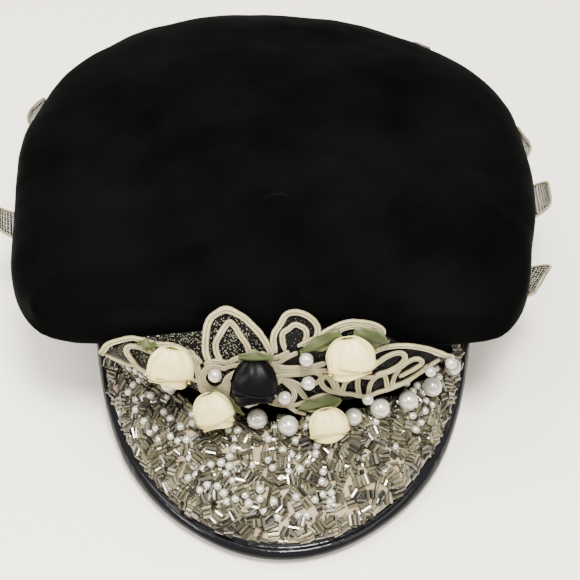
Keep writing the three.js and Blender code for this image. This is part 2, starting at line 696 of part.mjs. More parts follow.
// Materials
const material = (color, roughness, metalness = 0) =>
  new THREE.MeshStandardMaterial({ color, roughness, metalness });
const velvet = material(0x07070a, 0.95);
const patent = material(0x08090b, 0.2);
const buckram = material(0x15151a, 0.9);
const beadGround = material(0xb9b1a1, 0.8);

const antiqueNet = material(0x8d8a7c, 0.5, 0.6);
const soutache = material(0xd9ceb0, 0.75);
const creamSatin = material(0xe6dcbc, 0.5);
const blackSatin = material(0x0b0b0d, 0.4);
const leafGreen = material(0x6d7f4a, 0.6);
const pearl = material(0xe3e0d8, 0.2);

const cap = new THREE.Group();
function add(name, geometry, finish) {
  const mesh = new THREE.Mesh(geometry, finish);
  mesh.name = name;
  cap.add(mesh);
  return mesh;
}

add("crown", crownGeometry(), velvet);
add("band", bandGeometry(), velvet);
const plateEdge = PIPING.width - PIPING.grip + GAP;
const plateHalf = PEAK.wall / 2;
const plate = { low: -plateHalf, high: plateHalf, fromBand: 1.5, fromEdge: plateEdge, tip: 0.97 };
add("peak_plate", peakSheet(plate), buckram);
add("peak_piping", pipingGeometry(), patent);
const bedLow = plateHalf + GAP;
const bedHigh = bedLow + BEAD_BED.thickness;
const bed = { low: bedLow, high: bedHigh, fromBand: BEAD_BED.inset, fromEdge: PIPING.width + 2 * GAP, tip: 0.93 };
add("bead_bed", peakSheet(bed), beadGround);

add("net_left", netGeometry(NET_LEFT), antiqueNet);
add("net_right", netGeometry(NET_RIGHT), antiqueNet);
add("flower_cords", cordGroup(FLOWER_CORDS), soutache);
add("leaf_cords_right", cordGroup(RIGHT_CORDS), soutache);
add("leaf_cords_left", cordGroup(LEFT_CORDS), soutache);
for (const rose of ROSES) add(rose.name, roseGeometry(rose), rose.finish === "cream" ? creamSatin : blackSatin);
for (const leaf of ROSE_LEAVES) add(leaf.name, leafGeometry(leaf), leafGreen);
FLOWER_PEARLS.forEach(({ across, up, size, sink }, i) => {
  const place = onApplique(across, up, TOP_LEVEL - sink + size / 2);
  add(`flower_pearl_${i + 1}`, pearlGeometry(size), pearl).position.copy(place);
});
const largePearls = [
  ...BAND_PEARLS.map(({ bearing, up, size }) => ({ size, place: bandPoint(bearing, up, GAP + size / 2) })),
  ...PEAK_PEARLS.map(({ round, inFromBand, size }) => {
    const depth = peakPoint(round, 1).distanceTo(peakPoint(round, 0));
    return { size, place: onPeak(round, depth - inFromBand, bedHigh + GAP + size / 2) };
  }),
];
largePearls.forEach(({ size, place }, i) => add(`peak_pearl_${i + 1}`, pearlGeometry(size), pearl).position.copy(place));
SIDE_PETALS.forEach((petal, i) => {
  add(`side_petal_${i + 1}`, petalNet(petal), antiqueNet);
  add(`side_petal_cord_${i + 1}`, petalCord(petal), soutache);
});

cap.rotation.x = -REST_TILT * RAD;
const part = new THREE.Group();
part.add(cap);
part.updateMatrixWorld(true);
const box = new THREE.Box3().setFromObject(part, true);
cap.position.set(-(box.min.x + box.max.x) / 2, -(box.min.y + box.max.y) / 2, -box.min.z);

export default part;
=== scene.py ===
# %% [markdown]
# # A captain cap with a beaded peak
# The cap is black velvet: a wide soft crown on a band. Its peak is crusted with bugle beads and
# pearls, and an applique of braid, ribbon roses and pearls is sewn over the front.
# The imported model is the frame. Each soft or beaded piece is made new here, in the place of its
# plain solid, and rides on the same body.

# %% Load the frame
import math
import random

import bmesh
import bpy
from mathutils import Matrix, Vector, noise


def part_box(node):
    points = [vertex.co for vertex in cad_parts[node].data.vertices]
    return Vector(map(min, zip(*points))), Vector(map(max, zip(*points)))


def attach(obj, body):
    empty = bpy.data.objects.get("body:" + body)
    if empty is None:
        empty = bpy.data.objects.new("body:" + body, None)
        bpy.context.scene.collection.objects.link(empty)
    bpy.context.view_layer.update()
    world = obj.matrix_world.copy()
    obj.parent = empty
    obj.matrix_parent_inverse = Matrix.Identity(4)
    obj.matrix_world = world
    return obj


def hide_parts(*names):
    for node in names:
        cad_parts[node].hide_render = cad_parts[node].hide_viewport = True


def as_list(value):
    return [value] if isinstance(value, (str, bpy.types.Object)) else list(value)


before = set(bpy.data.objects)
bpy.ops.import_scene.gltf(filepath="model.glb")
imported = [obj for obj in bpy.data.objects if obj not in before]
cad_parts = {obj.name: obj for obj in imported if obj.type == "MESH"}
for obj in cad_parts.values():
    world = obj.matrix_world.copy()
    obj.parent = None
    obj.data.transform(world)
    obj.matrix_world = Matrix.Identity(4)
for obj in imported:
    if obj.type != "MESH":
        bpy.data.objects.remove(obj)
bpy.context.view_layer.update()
print("nodes in the frame:", len(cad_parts))

# %% [markdown]
# The cap is easiest to build standing level on its band, in millimetres, with its front at -Y.
# One matrix then tips it back onto the table and brings it to metres, as the frame has it. The band
# is an oval ring, so its box says where the matrix has to put it.

# %% From the upright cap to the table
BAND = {"half_width": 93, "front": 77.2, "back": 98, "centre_y": 5, "height": 40}
REST_TILT = math.radians(10)  # the peak lifts the front of the band
MM = 0.001
band_low, band_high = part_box("band")
back_y = BAND["centre_y"] + BAND["back"]
shift = Vector((
    (band_low.x + band_high.x) / 2,
    band_high.y - MM * (back_y * math.cos(REST_TILT) + BAND["height"] * math.sin(REST_TILT)),
    MM * back_y * math.sin(REST_TILT),
))
CAP = Matrix.Translation(shift) @ Matrix.Rotation(-REST_TILT, 4, "X") @ Matrix.Scale(MM, 4)
print("the cap stands at", [round(v, 4) for v in shift])

# %% [markdown]
# The photograph looks down at the peak from about 50 degrees above the table, through a lens a
# little longer than normal. The camera is aimed at a point inside the front of the crown.

# %% Camera
ELEVATION = math.radians(50)
DISTANCE = 0.62
LENS = 75.85
AIM = Vector((0.0035, -0.003565, 0.032114))  # metres from the upright cap's own origin
target = shift + AIM
back_to_camera = Vector((0, -math.cos(ELEVATION), math.sin(ELEVATION)))
camera = bpy.data.objects.new("camera", bpy.data.cameras.new("camera"))
camera.data.lens = LENS
camera.data.clip_start = 0.05
camera.location = target + DISTANCE * back_to_camera
camera.rotation_euler = (-back_to_camera).to_track_quat("-Z", "Y").to_euler()
bpy.context.scene.collection.objects.link(camera)
bpy.context.scene.camera = camera
print("camera at", [round(v, 3) for v in camera.location])

# %% [markdown]
# Every sheet, cord and petal of the cap is a grid of faces that is bent onto a surface. A surface
# is a function of two shares, u along the grid and v across it. The grid keeps its own unwrapping,
# scaled to millimetres, so that a weave has its true size wherever the cloth turns.

# %% Bending a grid onto a surface
def faces_of(verts):
    """The faces round some vertices, in the same order on every run."""
    return list(dict.fromkeys(face for v in verts for face in v.link_faces))


def bend_grid(bm, columns, rows, surface, size=(1, 1), join=False):
    layer = bm.loops.layers.uv.get("cut") or bm.loops.layers.uv.new("cut")
    made = bmesh.ops.create_grid(bm, x_segments=columns, y_segments=rows, size=0.5, calc_uvs=True)
    faces = faces_of(made["verts"])
    for face in faces:
        for loop in face.loops:
            loop[layer].uv = (loop[layer].uv.x * size[0], loop[layer].uv.y * size[1])
    for v in made["verts"]:
        v.co = surface(v.co.x + 0.5, v.co.y + 0.5)
    if join:
        bmesh.ops.remove_doubles(bm, verts=made["verts"], dist=0.01)
        faces = [face for face in faces if face.is_valid]
        bmesh.ops.recalc_face_normals(bm, faces=faces)


def fill_ends(bm):
    """Closes the open ends of tubes."""
    bmesh.ops.holes_fill(bm, edges=[e for e in bm.edges if e.is_boundary])


def piece(name, bm, material, slot, replaces=(), thickness=None, offset=-1):
    """Brings a finished shape into the frame. A thickness makes a wall of it, to one side or both."""
    bmesh.ops.transform(bm, matrix=CAP, verts=bm.verts)
    mesh = bpy.data.meshes.new(name)
    bm.to_mesh(mesh)
    bm.free()
    mesh.polygons.foreach_set("use_smooth", [True] * len(mesh.polygons))
    mesh.materials.append(material)
    made = bpy.data.objects.new(name, mesh)
    bpy.context.scene.collection.objects.link(made)
    if thickness:
        wall = made.modifiers.new("wall", "SOLIDIFY")
        wall.thickness = thickness * MM
        wall.offset = offset
    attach(made, "root")
    if replaces:
        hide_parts(*replaces)
    print(f"{name}: {len(mesh.polygons)} faces")
    return made


def cut_sheet(made, width, length, share, held, rests_on, faces=1):
    """Takes a cloth's cut, a rectangle in millimetres, and the share of it that is kept, but declares
    nothing. The cut and the share are not used.
    """
    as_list(rests_on)


def at_share(points, share):
    """A point at a share of a line of points, rounded through them."""
    last = len(points) - 1
    place = min(max(share, 0), 1) * last
    i = min(int(place), last - 1)
    t = place - i
    near = [points[min(max(k, 0), last)] for k in (i - 1, i, i + 1, i + 2)]
    return [
        0.5 * (2 * b + (c - a) * t + (2 * a - 5 * b + 4 * c - d) * t ** 2
               + (3 * b - a - 3 * c + d) * t ** 3)
        for a, b, c, d in zip(*near)
    ]


def way_at(points, share):
    """The way that a line of points runs at a share of it."""
    ahead = Vector(at_share(points, share + 0.01)) - Vector(at_share(points, share - 0.01))
    return ahead.normalized()


def run_of(points):
    return sum(math.dist(a, b) for a, b in zip(points, points[1:]))


def from_rows(rows, value):
    """Reads the further columns of a table at a value of its first, in straight lines between rows."""
    if value <= rows[0][0]:
        return rows[0][1:]
    for low, high in zip(rows, rows[1:]):
        if value <= high[0]:
            t = (value - low[0]) / (high[0] - low[0])
            return [a + (b - a) * t for a, b in zip(low[1:], high[1:])]
    return rows[-1][1:]


def smooth_step(low, high, value):
    t = min(max((value - low) / (high - low), 0), 1)
    return t * t * (3 - 2 * t)


# %% [markdown]
# ## Finishes
# A finish is a material with one Principled shader. Numbers that are the same all over go straight
# on its sockets. What changes over a surface comes from three node groups that several finishes
# share: a cloudy mottle, the plait of a braid and the mesh of a net.

# %% Helpers for node trees
def node_group(name, inputs, outputs):
    group = bpy.data.node_groups.new(name, "ShaderNodeTree")
    for label, kind, value in inputs:
        socket = group.interface.new_socket(label, in_out="INPUT", socket_type=kind)
        if value is not None:
            socket.default_value = value
    for label, kind in outputs:
        group.interface.new_socket(label, in_out="OUTPUT", socket_type=kind)
    return group, group.nodes.new("NodeGroupInput"), group.nodes.new("NodeGroupOutput")


def math_node(tree, operation, *values):
    node = tree.nodes.new("ShaderNodeMath")
    node.operation = operation
    for socket, value in zip(node.inputs, values):
        if isinstance(value, (int, float)):
            socket.default_value = value
        else:
            tree.links.new(value, socket)
    return node.outputs[0]


def mix_colours(tree, share, dark, light):
    node = tree.nodes.new("ShaderNodeMix")
    node.data_type = "RGBA"
    for k, value in ((0, share), (6, dark), (7, light)):  # the sockets of a colour mix
        socket = node.inputs[k]
        if isinstance(value, (int, float, tuple)):
            socket.default_value = value
        else:
            tree.links.new(value, socket)
    return node.outputs[2]


def colour(red, green, blue):
    return (red, green, blue, 1.0)


COLOUR, FLOAT, VECTOR = "NodeSocketColor", "NodeSocketFloat", "NodeSocketVector"

# %% The mottle group: cloudy colour and a fine tooth
mottle, given, result = node_group(
    "mottle",
    [("Vector", VECTOR, None), ("Size", FLOAT, 50.0), ("Contrast", FLOAT, 1.0),
     ("Dark", COLOUR, None), ("Light", COLOUR, None), ("Tooth Size", FLOAT, 900.0)],
    [("Colour", COLOUR), ("Tooth", FLOAT)],
)
clouds = mottle.nodes.new("ShaderNodeTexNoise")
clouds.inputs["Detail"].default_value = 4.0
mottle.links.new(given.outputs["Vector"], clouds.inputs["Vector"])
mottle.links.new(given.outputs["Size"], clouds.inputs["Scale"])
spread = math_node(mottle, "MULTIPLY", math_node(mottle, "SUBTRACT", clouds.outputs[0], 0.5),
                   given.outputs["Contrast"])
share = math_node(mottle, "ADD", spread, 0.5)
mottle.links.new(mix_colours(mottle, share, given.outputs["Dark"], given.outputs["Light"]),
                 result.inputs["Colour"])
tooth = mottle.nodes.new("ShaderNodeTexNoise")
mottle.links.new(given.outputs["Vector"], tooth.inputs["Vector"])
mottle.links.new(given.outputs["Tooth Size"], tooth.inputs["Scale"])
mottle.links.new(tooth.outputs[0], result.inputs["Tooth"])

# %% [markdown]
# Soutache braid is plaited over its cores, so it shows slanting stitches that meet in the grooves
# between them. The braid finishes paint the grooves darker, as shade. A braid's own unwrapping runs
# in millimetres along it, and as a share round it.

# %% The plait group
plait, given, result = node_group(
    "plait", [("Vector", VECTOR, None), ("Strands", FLOAT, 2.0), ("Stitch", FLOAT, 0.9)],
    [("Height", FLOAT), ("Ridge", FLOAT)],
)
place = plait.nodes.new("ShaderNodeSeparateXYZ")
plait.links.new(given.outputs["Vector"], place.inputs[0])
sideways = math_node(plait, "COSINE", math_node(plait, "MULTIPLY", place.outputs[1], 2 * math.pi))
strand = math_node(plait, "MULTIPLY", math_node(plait, "ADD", sideways, 1.0), given.outputs["Strands"])
ridge = math_node(plait, "ABSOLUTE", math_node(plait, "SINE",
                  math_node(plait, "MULTIPLY", strand, math.pi / 2)))
run = math_node(plait, "DIVIDE", math_node(plait, "ADD", place.outputs[0],
                math_node(plait, "MULTIPLY", ridge, 0.8)), given.outputs["Stitch"])
wave = math_node(plait, "SINE", math_node(plait, "MULTIPLY", run, 2 * math.pi))
plait.links.new(wave, result.inputs["Height"])
plait.links.new(ridge, result.inputs["Ridge"])

# %% [markdown]
# The net is black thread crossed by a silver one that catches the light in flecks. Its holes are
# too fine to model, so a mask cuts them out of the sheet.

# %% The net group
netting, given, result = node_group(
    "netting", [("Vector", VECTOR, None), ("Hole", FLOAT, 1.4), ("Thread", FLOAT, 0.5),
                ("Fleck", FLOAT, 0.4)],
    [("Thread", FLOAT), ("Silver", FLOAT)],
)
place = netting.nodes.new("ShaderNodeSeparateXYZ")
netting.links.new(given.outputs["Vector"], place.inputs[0])
bars = []
for axis in (0, 1):
    phase = math_node(netting, "DIVIDE", place.outputs[axis], given.outputs["Hole"])
    near = math_node(netting, "ABSOLUTE", math_node(netting, "SUBTRACT",
                     math_node(netting, "FRACT", phase), 0.5))
    bars.append(math_node(netting, "LESS_THAN", near, given.outputs["Thread"]))
netting.links.new(math_node(netting, "MAXIMUM", *bars), result.inputs["Thread"])
flecks = netting.nodes.new("ShaderNodeTexVoronoi")
flecks.inputs["Scale"].default_value = 1.05
netting.links.new(given.outputs["Vector"], flecks.inputs["Vector"])
netting.links.new(math_node(netting, "LESS_THAN", flecks.outputs["Distance"], given.outputs["Fleck"]),
                  result.inputs["Silver"])


# %% Starting a finish
def new_finish(name, **settings):
    """A material with one Principled shader. A setting is a socket's name with _ for a space."""
    material = bpy.data.materials.new(name)
    material.use_nodes = True
    shader = material.node_tree.nodes["Principled BSDF"]
    for label, value in settings.items():
        shader.inputs[label.replace("_", " ")].default_value = value
    return material, material.node_tree, shader


def place_group(tree, group, vector, **settings):
    node = tree.nodes.new("ShaderNodeGroup")
    node.node_tree = group
    tree.links.new(vector, node.inputs["Vector"])
    for label, value in settings.items():
        node.inputs[label.replace("_", " ")].default_value = value
    return node


def bump(tree, shader, height, strength, distance):
    node = tree.nodes.new("ShaderNodeBump")
    node.inputs["Strength"].default_value = strength
    node.inputs["Distance"].default_value = distance
    tree.links.new(height, node.inputs["Height"])
    tree.links.new(node.outputs[0], shader.inputs["Normal"])


def object_place(tree):
    return tree.nodes.new("ShaderNodeTexCoord").outputs["Object"]


def cut_place(tree):
    node = tree.nodes.new("ShaderNodeUVMap")
    node.uv_map = "cut"
    return node.outputs[0]


def place_mottle(tree, size, contrast, dark, light, tooth_size):
    return place_group(tree, mottle, object_place(tree), Size=size, Contrast=contrast,
                       Dark=colour(*dark), Light=colour(*light), Tooth_Size=tooth_size)


def cloudy_finish(name, clouds, tooth=None, **settings):
    """clouds is what place_mottle takes, and tooth the strength and the depth of the tooth."""
    material, tree, shader = new_finish(name, **settings)
    cloud = place_mottle(tree, *clouds)
    tree.links.new(cloud.outputs["Colour"], shader.inputs["Base Color"])
    if tooth:
        bump(tree, shader, cloud.outputs["Tooth"], *tooth)
    return material


# %% [markdown]
# Velvet swallows light where one looks straight into its pile, and gives a soft grey bloom where
# the pile is seen from the side. The sheen of the shader does that. The pile is brushed in
# patches, so the mottle moves the base colour and a fine tooth breaks the surface.

# %% Velvet
velvet = cloudy_finish(
    "black_velvet", (22.0, 1.6, (0.0006, 0.0006, 0.0006), (0.0026, 0.0028, 0.0027), 1800.0),
    (0.5, 0.0003), Roughness=0.9, Specular_IOR_Level=0.0, Sheen_Weight=0.024,
    Sheen_Roughness=0.3, Sheen_Tint=colour(0.95, 1.0, 0.97))

# %% Patent piping, and the cloth under the peak
patent, tree, shader = new_finish("black_patent", Base_Color=colour(0.004, 0.004, 0.005),
                                  Roughness=0.16, Specular_IOR_Level=0.14, Coat_Weight=0.06,
                                  Coat_Roughness=0.03)
skin = place_group(tree, mottle, object_place(tree), Size=260.0, Contrast=1.0, Tooth_Size=420.0)
bump(tree, shader, skin.outputs["Tooth"], 0.25, 0.0005)
lining_cloth = cloudy_finish(
    "black_cloth", (120.0, 1.2, (0.006, 0.006, 0.008), (0.02, 0.02, 0.024), 1500.0),
    (0.5, 0.0004), Roughness=0.85)

# %% [markdown]
# The bugle beads are clear glass tubes with a silvered bore, tarnished to grey and olive. Each side
# of a bead has its own shade, kept on its faces as an attribute: a random tone for each row, plus
# painted dark and light streaks that run along it in place of the reflections in the glass. The sunk
# bores at the ends are painted dark, as shade.

# %% Glass beads
bead_glass, tree, shader = new_finish("silver_lined_glass", Roughness=0.15, Metallic=0.4,
                                      Coat_Weight=0.8, Coat_Roughness=0.05)
tone_and_painted_shade = tree.nodes.new("ShaderNodeAttribute")
tone_and_painted_shade.attribute_name = "tone_and_painted_shade"
tarnish = place_group(tree, mottle, object_place(tree), Size=90.0, Contrast=2.0,
                      Dark=colour(0.06, 0.05, 0.022), Light=colour(0.25, 0.225, 0.135))
# painted shade and reflection: a low attribute turns the colour near black, a high one gives the
# tarnish colour
tint = mix_colours(tree, tone_and_painted_shade.outputs["Fac"], colour(0.016, 0.014, 0.009), tarnish.outputs["Colour"])
tree.links.new(tint, shader.inputs["Base Color"])

# %% Pearls
pearl = cloudy_finish(
    "imitation_pearl", (180.0, 0.9, (0.34, 0.32, 0.25), (0.66, 0.64, 0.56), 400.0),
    Roughness=0.25, Metallic=0.4, Coat_Weight=0.9, Coat_Roughness=0.04)

# %% Ground under the beads
ground_cloth = cloudy_finish(
    "bead_ground", (70.0, 2.0, (0.2, 0.15, 0.08), (0.46, 0.36, 0.235), 1400.0),
    (0.6, 0.0004), Roughness=0.8, Sheen_Weight=0.2)

# %% Braid, in a cream and a tan dye
def braid_finish(name, painted_groove_shade, dark, light, strands):
    material, tree, shader = new_finish(name, Roughness=0.6, Sheen_Weight=0.2,
                                        Sheen_Roughness=0.4, Specular_IOR_Level=0.35)
    dye = place_mottle(tree, 160.0, 1.6, dark, light, 2200.0)
    stitch = place_group(tree, plait, cut_place(tree), Stitch=0.8, Strands=strands)
    # painted shade: the grooves between the strands get the darker groove colour
    dye_and_painted_shade = mix_colours(tree, stitch.outputs["Ridge"], colour(*painted_groove_shade), dye.outputs["Colour"])
    tree.links.new(dye_and_painted_shade, shader.inputs["Base Color"])
    bump(tree, shader, math_node(tree, "ADD", stitch.outputs["Height"], dye.outputs["Tooth"]),
         0.9, 0.0004)
    return material


# the first colour of each braid is painted shade for its grooves
cream_braid = braid_finish("cream_braid", (0.3, 0.23, 0.09), (0.56, 0.48, 0.23),
                           (0.86, 0.79, 0.46), 2.0)
tan_braid = braid_finish("tan_braid", (0.2, 0.135, 0.065), (0.46, 0.37, 0.19),
                         (0.8, 0.72, 0.43), 3.0)

# %% Satin ribbon, cream and black, and the ribbon leaves
def ribbon_finish(name, dark, light, painted_hem_colour, roughness, shine, sheen):
    """A petal's own unwrapping ends at its hem, where a painted hem colour is mixed in: painted tan
    shade on the cream satin, and a slightly lighter colour on the black satin and the leaf ribbon.
    """
    material, tree, shader = new_finish(name, Roughness=roughness, Sheen_Weight=sheen,
                                        Sheen_Roughness=0.35, Specular_IOR_Level=shine)
    dye = place_mottle(tree, 60.0, 1.5, dark, light, 1700.0)
    spread = tree.nodes.new("ShaderNodeSeparateXYZ")
    tree.links.new(cut_place(tree), spread.inputs[0])
    # painted shade: near the hem the dye gives way to the hem colour, a tan shade on the cream satin
    painted_hem_mask = math_node(tree, "GREATER_THAN", spread.outputs[1], 0.86)
    dye_and_painted_shade = mix_colours(tree, math_node(tree, "MULTIPLY", painted_hem_mask, 0.7), dye.outputs["Colour"],
                       colour(*painted_hem_colour))
    tree.links.new(dye_and_painted_shade, shader.inputs["Base Color"])
    bump(tree, shader, dye.outputs["Tooth"], 0.25, 0.00015)
    return material


# the third colour of each ribbon is its hem colour; on the cream satin it is painted tan shade
cream_satin = ribbon_finish("cream_satin", (0.52, 0.42, 0.15), (0.82, 0.72, 0.33),
                            (0.54, 0.4, 0.15), roughness=0.36, shine=0.4, sheen=0.02)
black_satin = ribbon_finish("black_satin", (0.0008, 0.0008, 0.0008), (0.002, 0.002, 0.0022),
                            (0.003, 0.003, 0.003), roughness=0.38, shine=0.07, sheen=0.0)
leaf_ribbon = ribbon_finish("leaf_ribbon", (0.02, 0.028, 0.009), (0.082, 0.098, 0.034),
                            (0.12, 0.13, 0.052), roughness=0.5, shine=0.25, sheen=0.02)

# %% Metal net
def net_finish(name, thread, fleck, black, silver):
    """thread is half the share of a mesh that its thread takes, or None for a net that closes."""
    material, tree, shader = new_finish(name, Roughness=0.55, Specular_IOR_Level=0.05)
    mesh = place_group(tree, netting, cut_place(tree), Hole=1.8, Thread=thread or 0.5, Fleck=fleck)
    tree.links.new(mix_colours(tree, mesh.outputs["Silver"], colour(*black), colour(*silver)),
                   shader.inputs["Base Color"])
    if thread:
        tree.links.new(mesh.outputs["Thread"], shader.inputs["Alpha"])
    bump(tree, shader, mesh.outputs["Silver"], 0.8, 0.0006)
    return material


BLACK = (0.006, 0.006, 0.006)
metal_net = net_finish("metal_net", None, 0.3, BLACK, (0.3, 0.28, 0.21))
dark_net = net_finish("dark_metal_net", None, 0.16, BLACK, (0.25, 0.25, 0.24))
open_net = net_finish("open_metal_net", 0.21, 0.3, (0.012, 0.01, 0.006), (0.4, 0.37, 0.27))
print("finishes:", len(bpy.data.materials))

# %% [markdown]
# The plate of the peak keeps its plain solid, and is covered in black cloth.

# %% Cover the plate
plate_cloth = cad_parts["peak_plate"].data.materials
plate_cloth.clear()
plate_cloth.append(lining_cloth)

# %% [markdown]
# ## Crown
# The crown is a round of velvet, wide and slack, gathered into the top of the band. It overhangs
# the band all round and sags into folds over the brow. One surface gives it from the band, under
# the overhang, over the rim and up to the middle. The folds then lift it along its own slope.

# %% Crown tables
CROWN = {"x": -3, "y": 50, "middle_height": 103, "square": 2.7, "under": 3, "over": 8,
         "gathers": 46, "gather_depth": 1.1, "most_fold": 5, "wall": 2.4}
# bearing from the front, reach from the middle, rim height, crest height
CROWN_RIM = [
    (0, 119, 57, 87), (24, 128, 55, 88), (33, 138, 55, 90), (43, 156, 52, 92),
    (65, 139, 58, 95), (90, 133, 61, 98), (120, 135, 66, 102), (150, 129, 72, 105),
    (180, 129, 75, 106), (205, 138, 73, 106), (230, 144, 68, 104), (255, 140, 63, 100),
    (285, 137, 59, 96), (315, 158, 52, 92), (327, 139, 55, 90), (336, 127, 55, 88),
]
# fold from x, y to x, y, height and spread
CROWN_FOLDS = [
    (-108, -60, -43, -38, 4, 8), (-43, -38, -2, -21, 4.5, 8), (-2, -21, 18, -32, 3.5, 7),
    (-21, -34, 12, -61, 3, 6), (12, -61, 40, -66, 3, 6), (40, -66, 52, -58, 3, 6),
    (52, -58, 86, -66, 3, 7), (34, -52, 62, -34, 3.5, 7), (62, -34, 100, -18, 2.5, 10),
    (-70, -66, -14, -48, -3.5, 12), (8, -44, 26, -50, -4, 9), (66, -52, 92, -46, -2, 10),
]


# %% Crown surface
def around_rim(bearing):
    """Reach, rim height and crest height at a bearing, on a smooth curve through the rows."""
    count = len(CROWN_RIM)
    turn = bearing % 360
    i = max(k for k in range(count) if CROWN_RIM[k][0] <= turn)
    rows = [CROWN_RIM[k % count] for k in (i - 1, i, i + 1, i + 2)]
    a, b, c, d = [row[0] + 360 * ((i - 1 + k) // count) for k, row in enumerate(rows)]
    t = (turn - b) / (c - b)
    out = []
    for p, q, r, s in zip(*[row[1:] for row in rows]):
        m1 = (r - p) / (c - a) * (c - b)
        m2 = (s - q) / (d - b) * (c - b)
        out.append(q * (2 * t ** 3 - 3 * t ** 2 + 1) + m1 * (t ** 3 - 2 * t ** 2 + t)
                   + r * (3 * t ** 2 - 2 * t ** 3) + m2 * (t ** 3 - t ** 2))
    return out


def band_point(bearing, z, grow=0.0):
    side, fore = math.sin(math.radians(bearing)), math.cos(math.radians(bearing))
    length = BAND["front"] if fore > 0 else BAND["back"]
    return Vector(((BAND["half_width"] + grow) * side, BAND["centre_y"] - (length + grow) * fore, z))


def crown_point(bearing, row):
    reach, rim_height, crest_height = around_rim(bearing)
    angle = math.radians(bearing)
    rim = Vector((CROWN["x"] + reach * math.sin(angle), CROWN["y"] - reach * math.cos(angle),
                  rim_height))
    if row <= CROWN["under"]:
        start = band_point(bearing, BAND["height"] + 0.3)
        turn = row / CROWN["under"] * math.pi / 2
        out, up = math.sin(turn), 1 - math.cos(turn)
        return Vector((start.x + (rim.x - start.x) * out, start.y + (rim.y - start.y) * out,
                       start.z + (rim.z - start.z) * up))
    turn = (row - CROWN["under"]) / CROWN["over"] * math.pi / 2
    share = max(math.cos(turn), 0) ** (2 / CROWN["square"])
    rise = math.sin(turn) ** (2 / CROWN["square"])
    crest = CROWN["middle_height"] + (crest_height - CROWN["middle_height"]) * share
    return Vector((CROWN["x"] + (rim.x - CROWN["x"]) * share,
                   CROWN["y"] + (rim.y - CROWN["y"]) * share, rim.z + (crest - rim.z) * rise))


def fold_lift(point):
    lift = 0.0
    for x1, y1, x2, y2, height, spread in CROWN_FOLDS:
        run, at = Vector((x2 - x1, y2 - y1)), Vector((point.x - x1, point.y - y1))
        t = min(max(at.dot(run) / run.length_squared, 0), 1)
        lift += height * math.exp(-((at - run * t).length / spread) ** 2)
    return min(max(lift, -CROWN["most_fold"]), CROWN["most_fold"])


def crown_surface(u, v):
    """Gathered where it leaves the band, and folded from the rim to the middle."""
    bearing, row = 360 * u, (CROWN["under"] + CROWN["over"]) * v
    here = crown_point(bearing, row)
    if row <= CROWN["under"]:
        gathers = (math.sin(math.radians(bearing) * CROWN["gathers"]) * CROWN["gather_depth"]
                   * (1 - row / CROWN["under"]))
        here.z += gathers * min(row, 0.4) / 0.4
        return here
    if v > 0.999:
        return here
    along = crown_point(bearing + 1, row) - crown_point(bearing - 1, row)
    across = crown_point(bearing, row + 0.05) - crown_point(bearing, row - 0.05)
    outward = along.cross(across).normalized()
    fade = smooth_step(CROWN["under"], CROWN["under"] + 1, row)
    slack = 1.3 * noise.noise(here / 34) + 0.5 * noise.noise(here / 13)
    return here + outward * fade * (fold_lift(here) + slack)


# %% Make the crown
bm = bmesh.new()
bend_grid(bm, 220, 120, crown_surface, size=(800, 260), join=True)
crown = piece("crown_velvet", bm, velvet, "velvet", ["crown"], CROWN["wall"])
cut_sheet(crown, 400, 400, 0.785, "gathered", ["band"])
print("crown stands", round(crown.dimensions.z, 3), "m high")

# %% [markdown]
# ## Band
# The band is a plain ring of the same velvet.

# %% Make the band
def band_surface(u, v):
    """Round the ring, and up its outside, over its top edge and down its inside."""
    wall, edge, bevel = 2.4, 0.12, 0.8
    side, straight = 0.5 - edge / 2, BAND["height"] - 2 * bevel
    if v < side:
        z, grow = bevel + straight * v / side, 0.0
    elif v > 0.5 + edge / 2:
        z, grow = bevel + straight * (1 - v) / side, -wall
    else:
        turn = (v - 0.5 + edge / 2) / edge * math.pi
        z, grow = BAND["height"] - bevel + bevel * math.sin(turn), -wall / 2 * (1 - math.cos(turn))
    return band_point(360 * u, z, grow)


bm = bmesh.new()
bend_grid(bm, 160, 40, band_surface, size=(570, 80), join=True)
bmesh.ops.bridge_loops(bm, edges=[e for e in bm.edges if e.is_boundary])
bmesh.ops.recalc_face_normals(bm, faces=bm.faces)
band = piece("band_velvet", bm, velvet, "velvet", ["band"])
cut_sheet(band, 570, 44, 1, "stretched", ["crown"], faces=2)

# %% [markdown]
# ## Peak
# The peak is a stiff half-moon that runs from the foot of the band down to the table. A place on it
# is a share round it, from -1 to 1, and so many millimetres in from its edge.

# %% Peak surface
PEAK = {"half_width": 97, "depth": 139, "centre_y": 9.4, "wall": 2.5, "bulge": 3.5,
        "sweep": 82, "inner_sweep": 80, "inner_up": 2, "tip_rise": 15}
PIPING = {"width": 10, "thickness": 6.4, "lift": 3.2, "tuck": 3.2}
GAP = 0.3
BEADS_BACK = 3  # how far the beads keep back from the binding at the sides


def peak_point(around, out):
    inner = band_point(around * PEAK["inner_sweep"], PEAK["inner_up"], GAP)
    angle = math.radians(around * PEAK["sweep"])
    edge = Vector((PEAK["half_width"] * math.sin(angle),
                   PEAK["centre_y"] - PEAK["depth"] * math.cos(angle), 0))
    edge.z = (edge.y - back_y) * math.tan(REST_TILT) + PIPING["lift"]
    edge.z += PEAK["tip_rise"] * smooth_step(0.6, 1, abs(around))
    point = inner.lerp(edge, out)
    point.z += PEAK["bulge"] * math.sin(math.pi * out) * (1 - around ** 4)
    return point


def peak_depth(around):
    return (peak_point(around, 1) - peak_point(around, 0)).length


def sideness(around):
    """0 over the middle of the peak and 1 at its sides."""
    return smooth_step(0.25, 0.7, abs(around))


def bead_edge(around):
    return PIPING["width"] + BEADS_BACK * sideness(around)


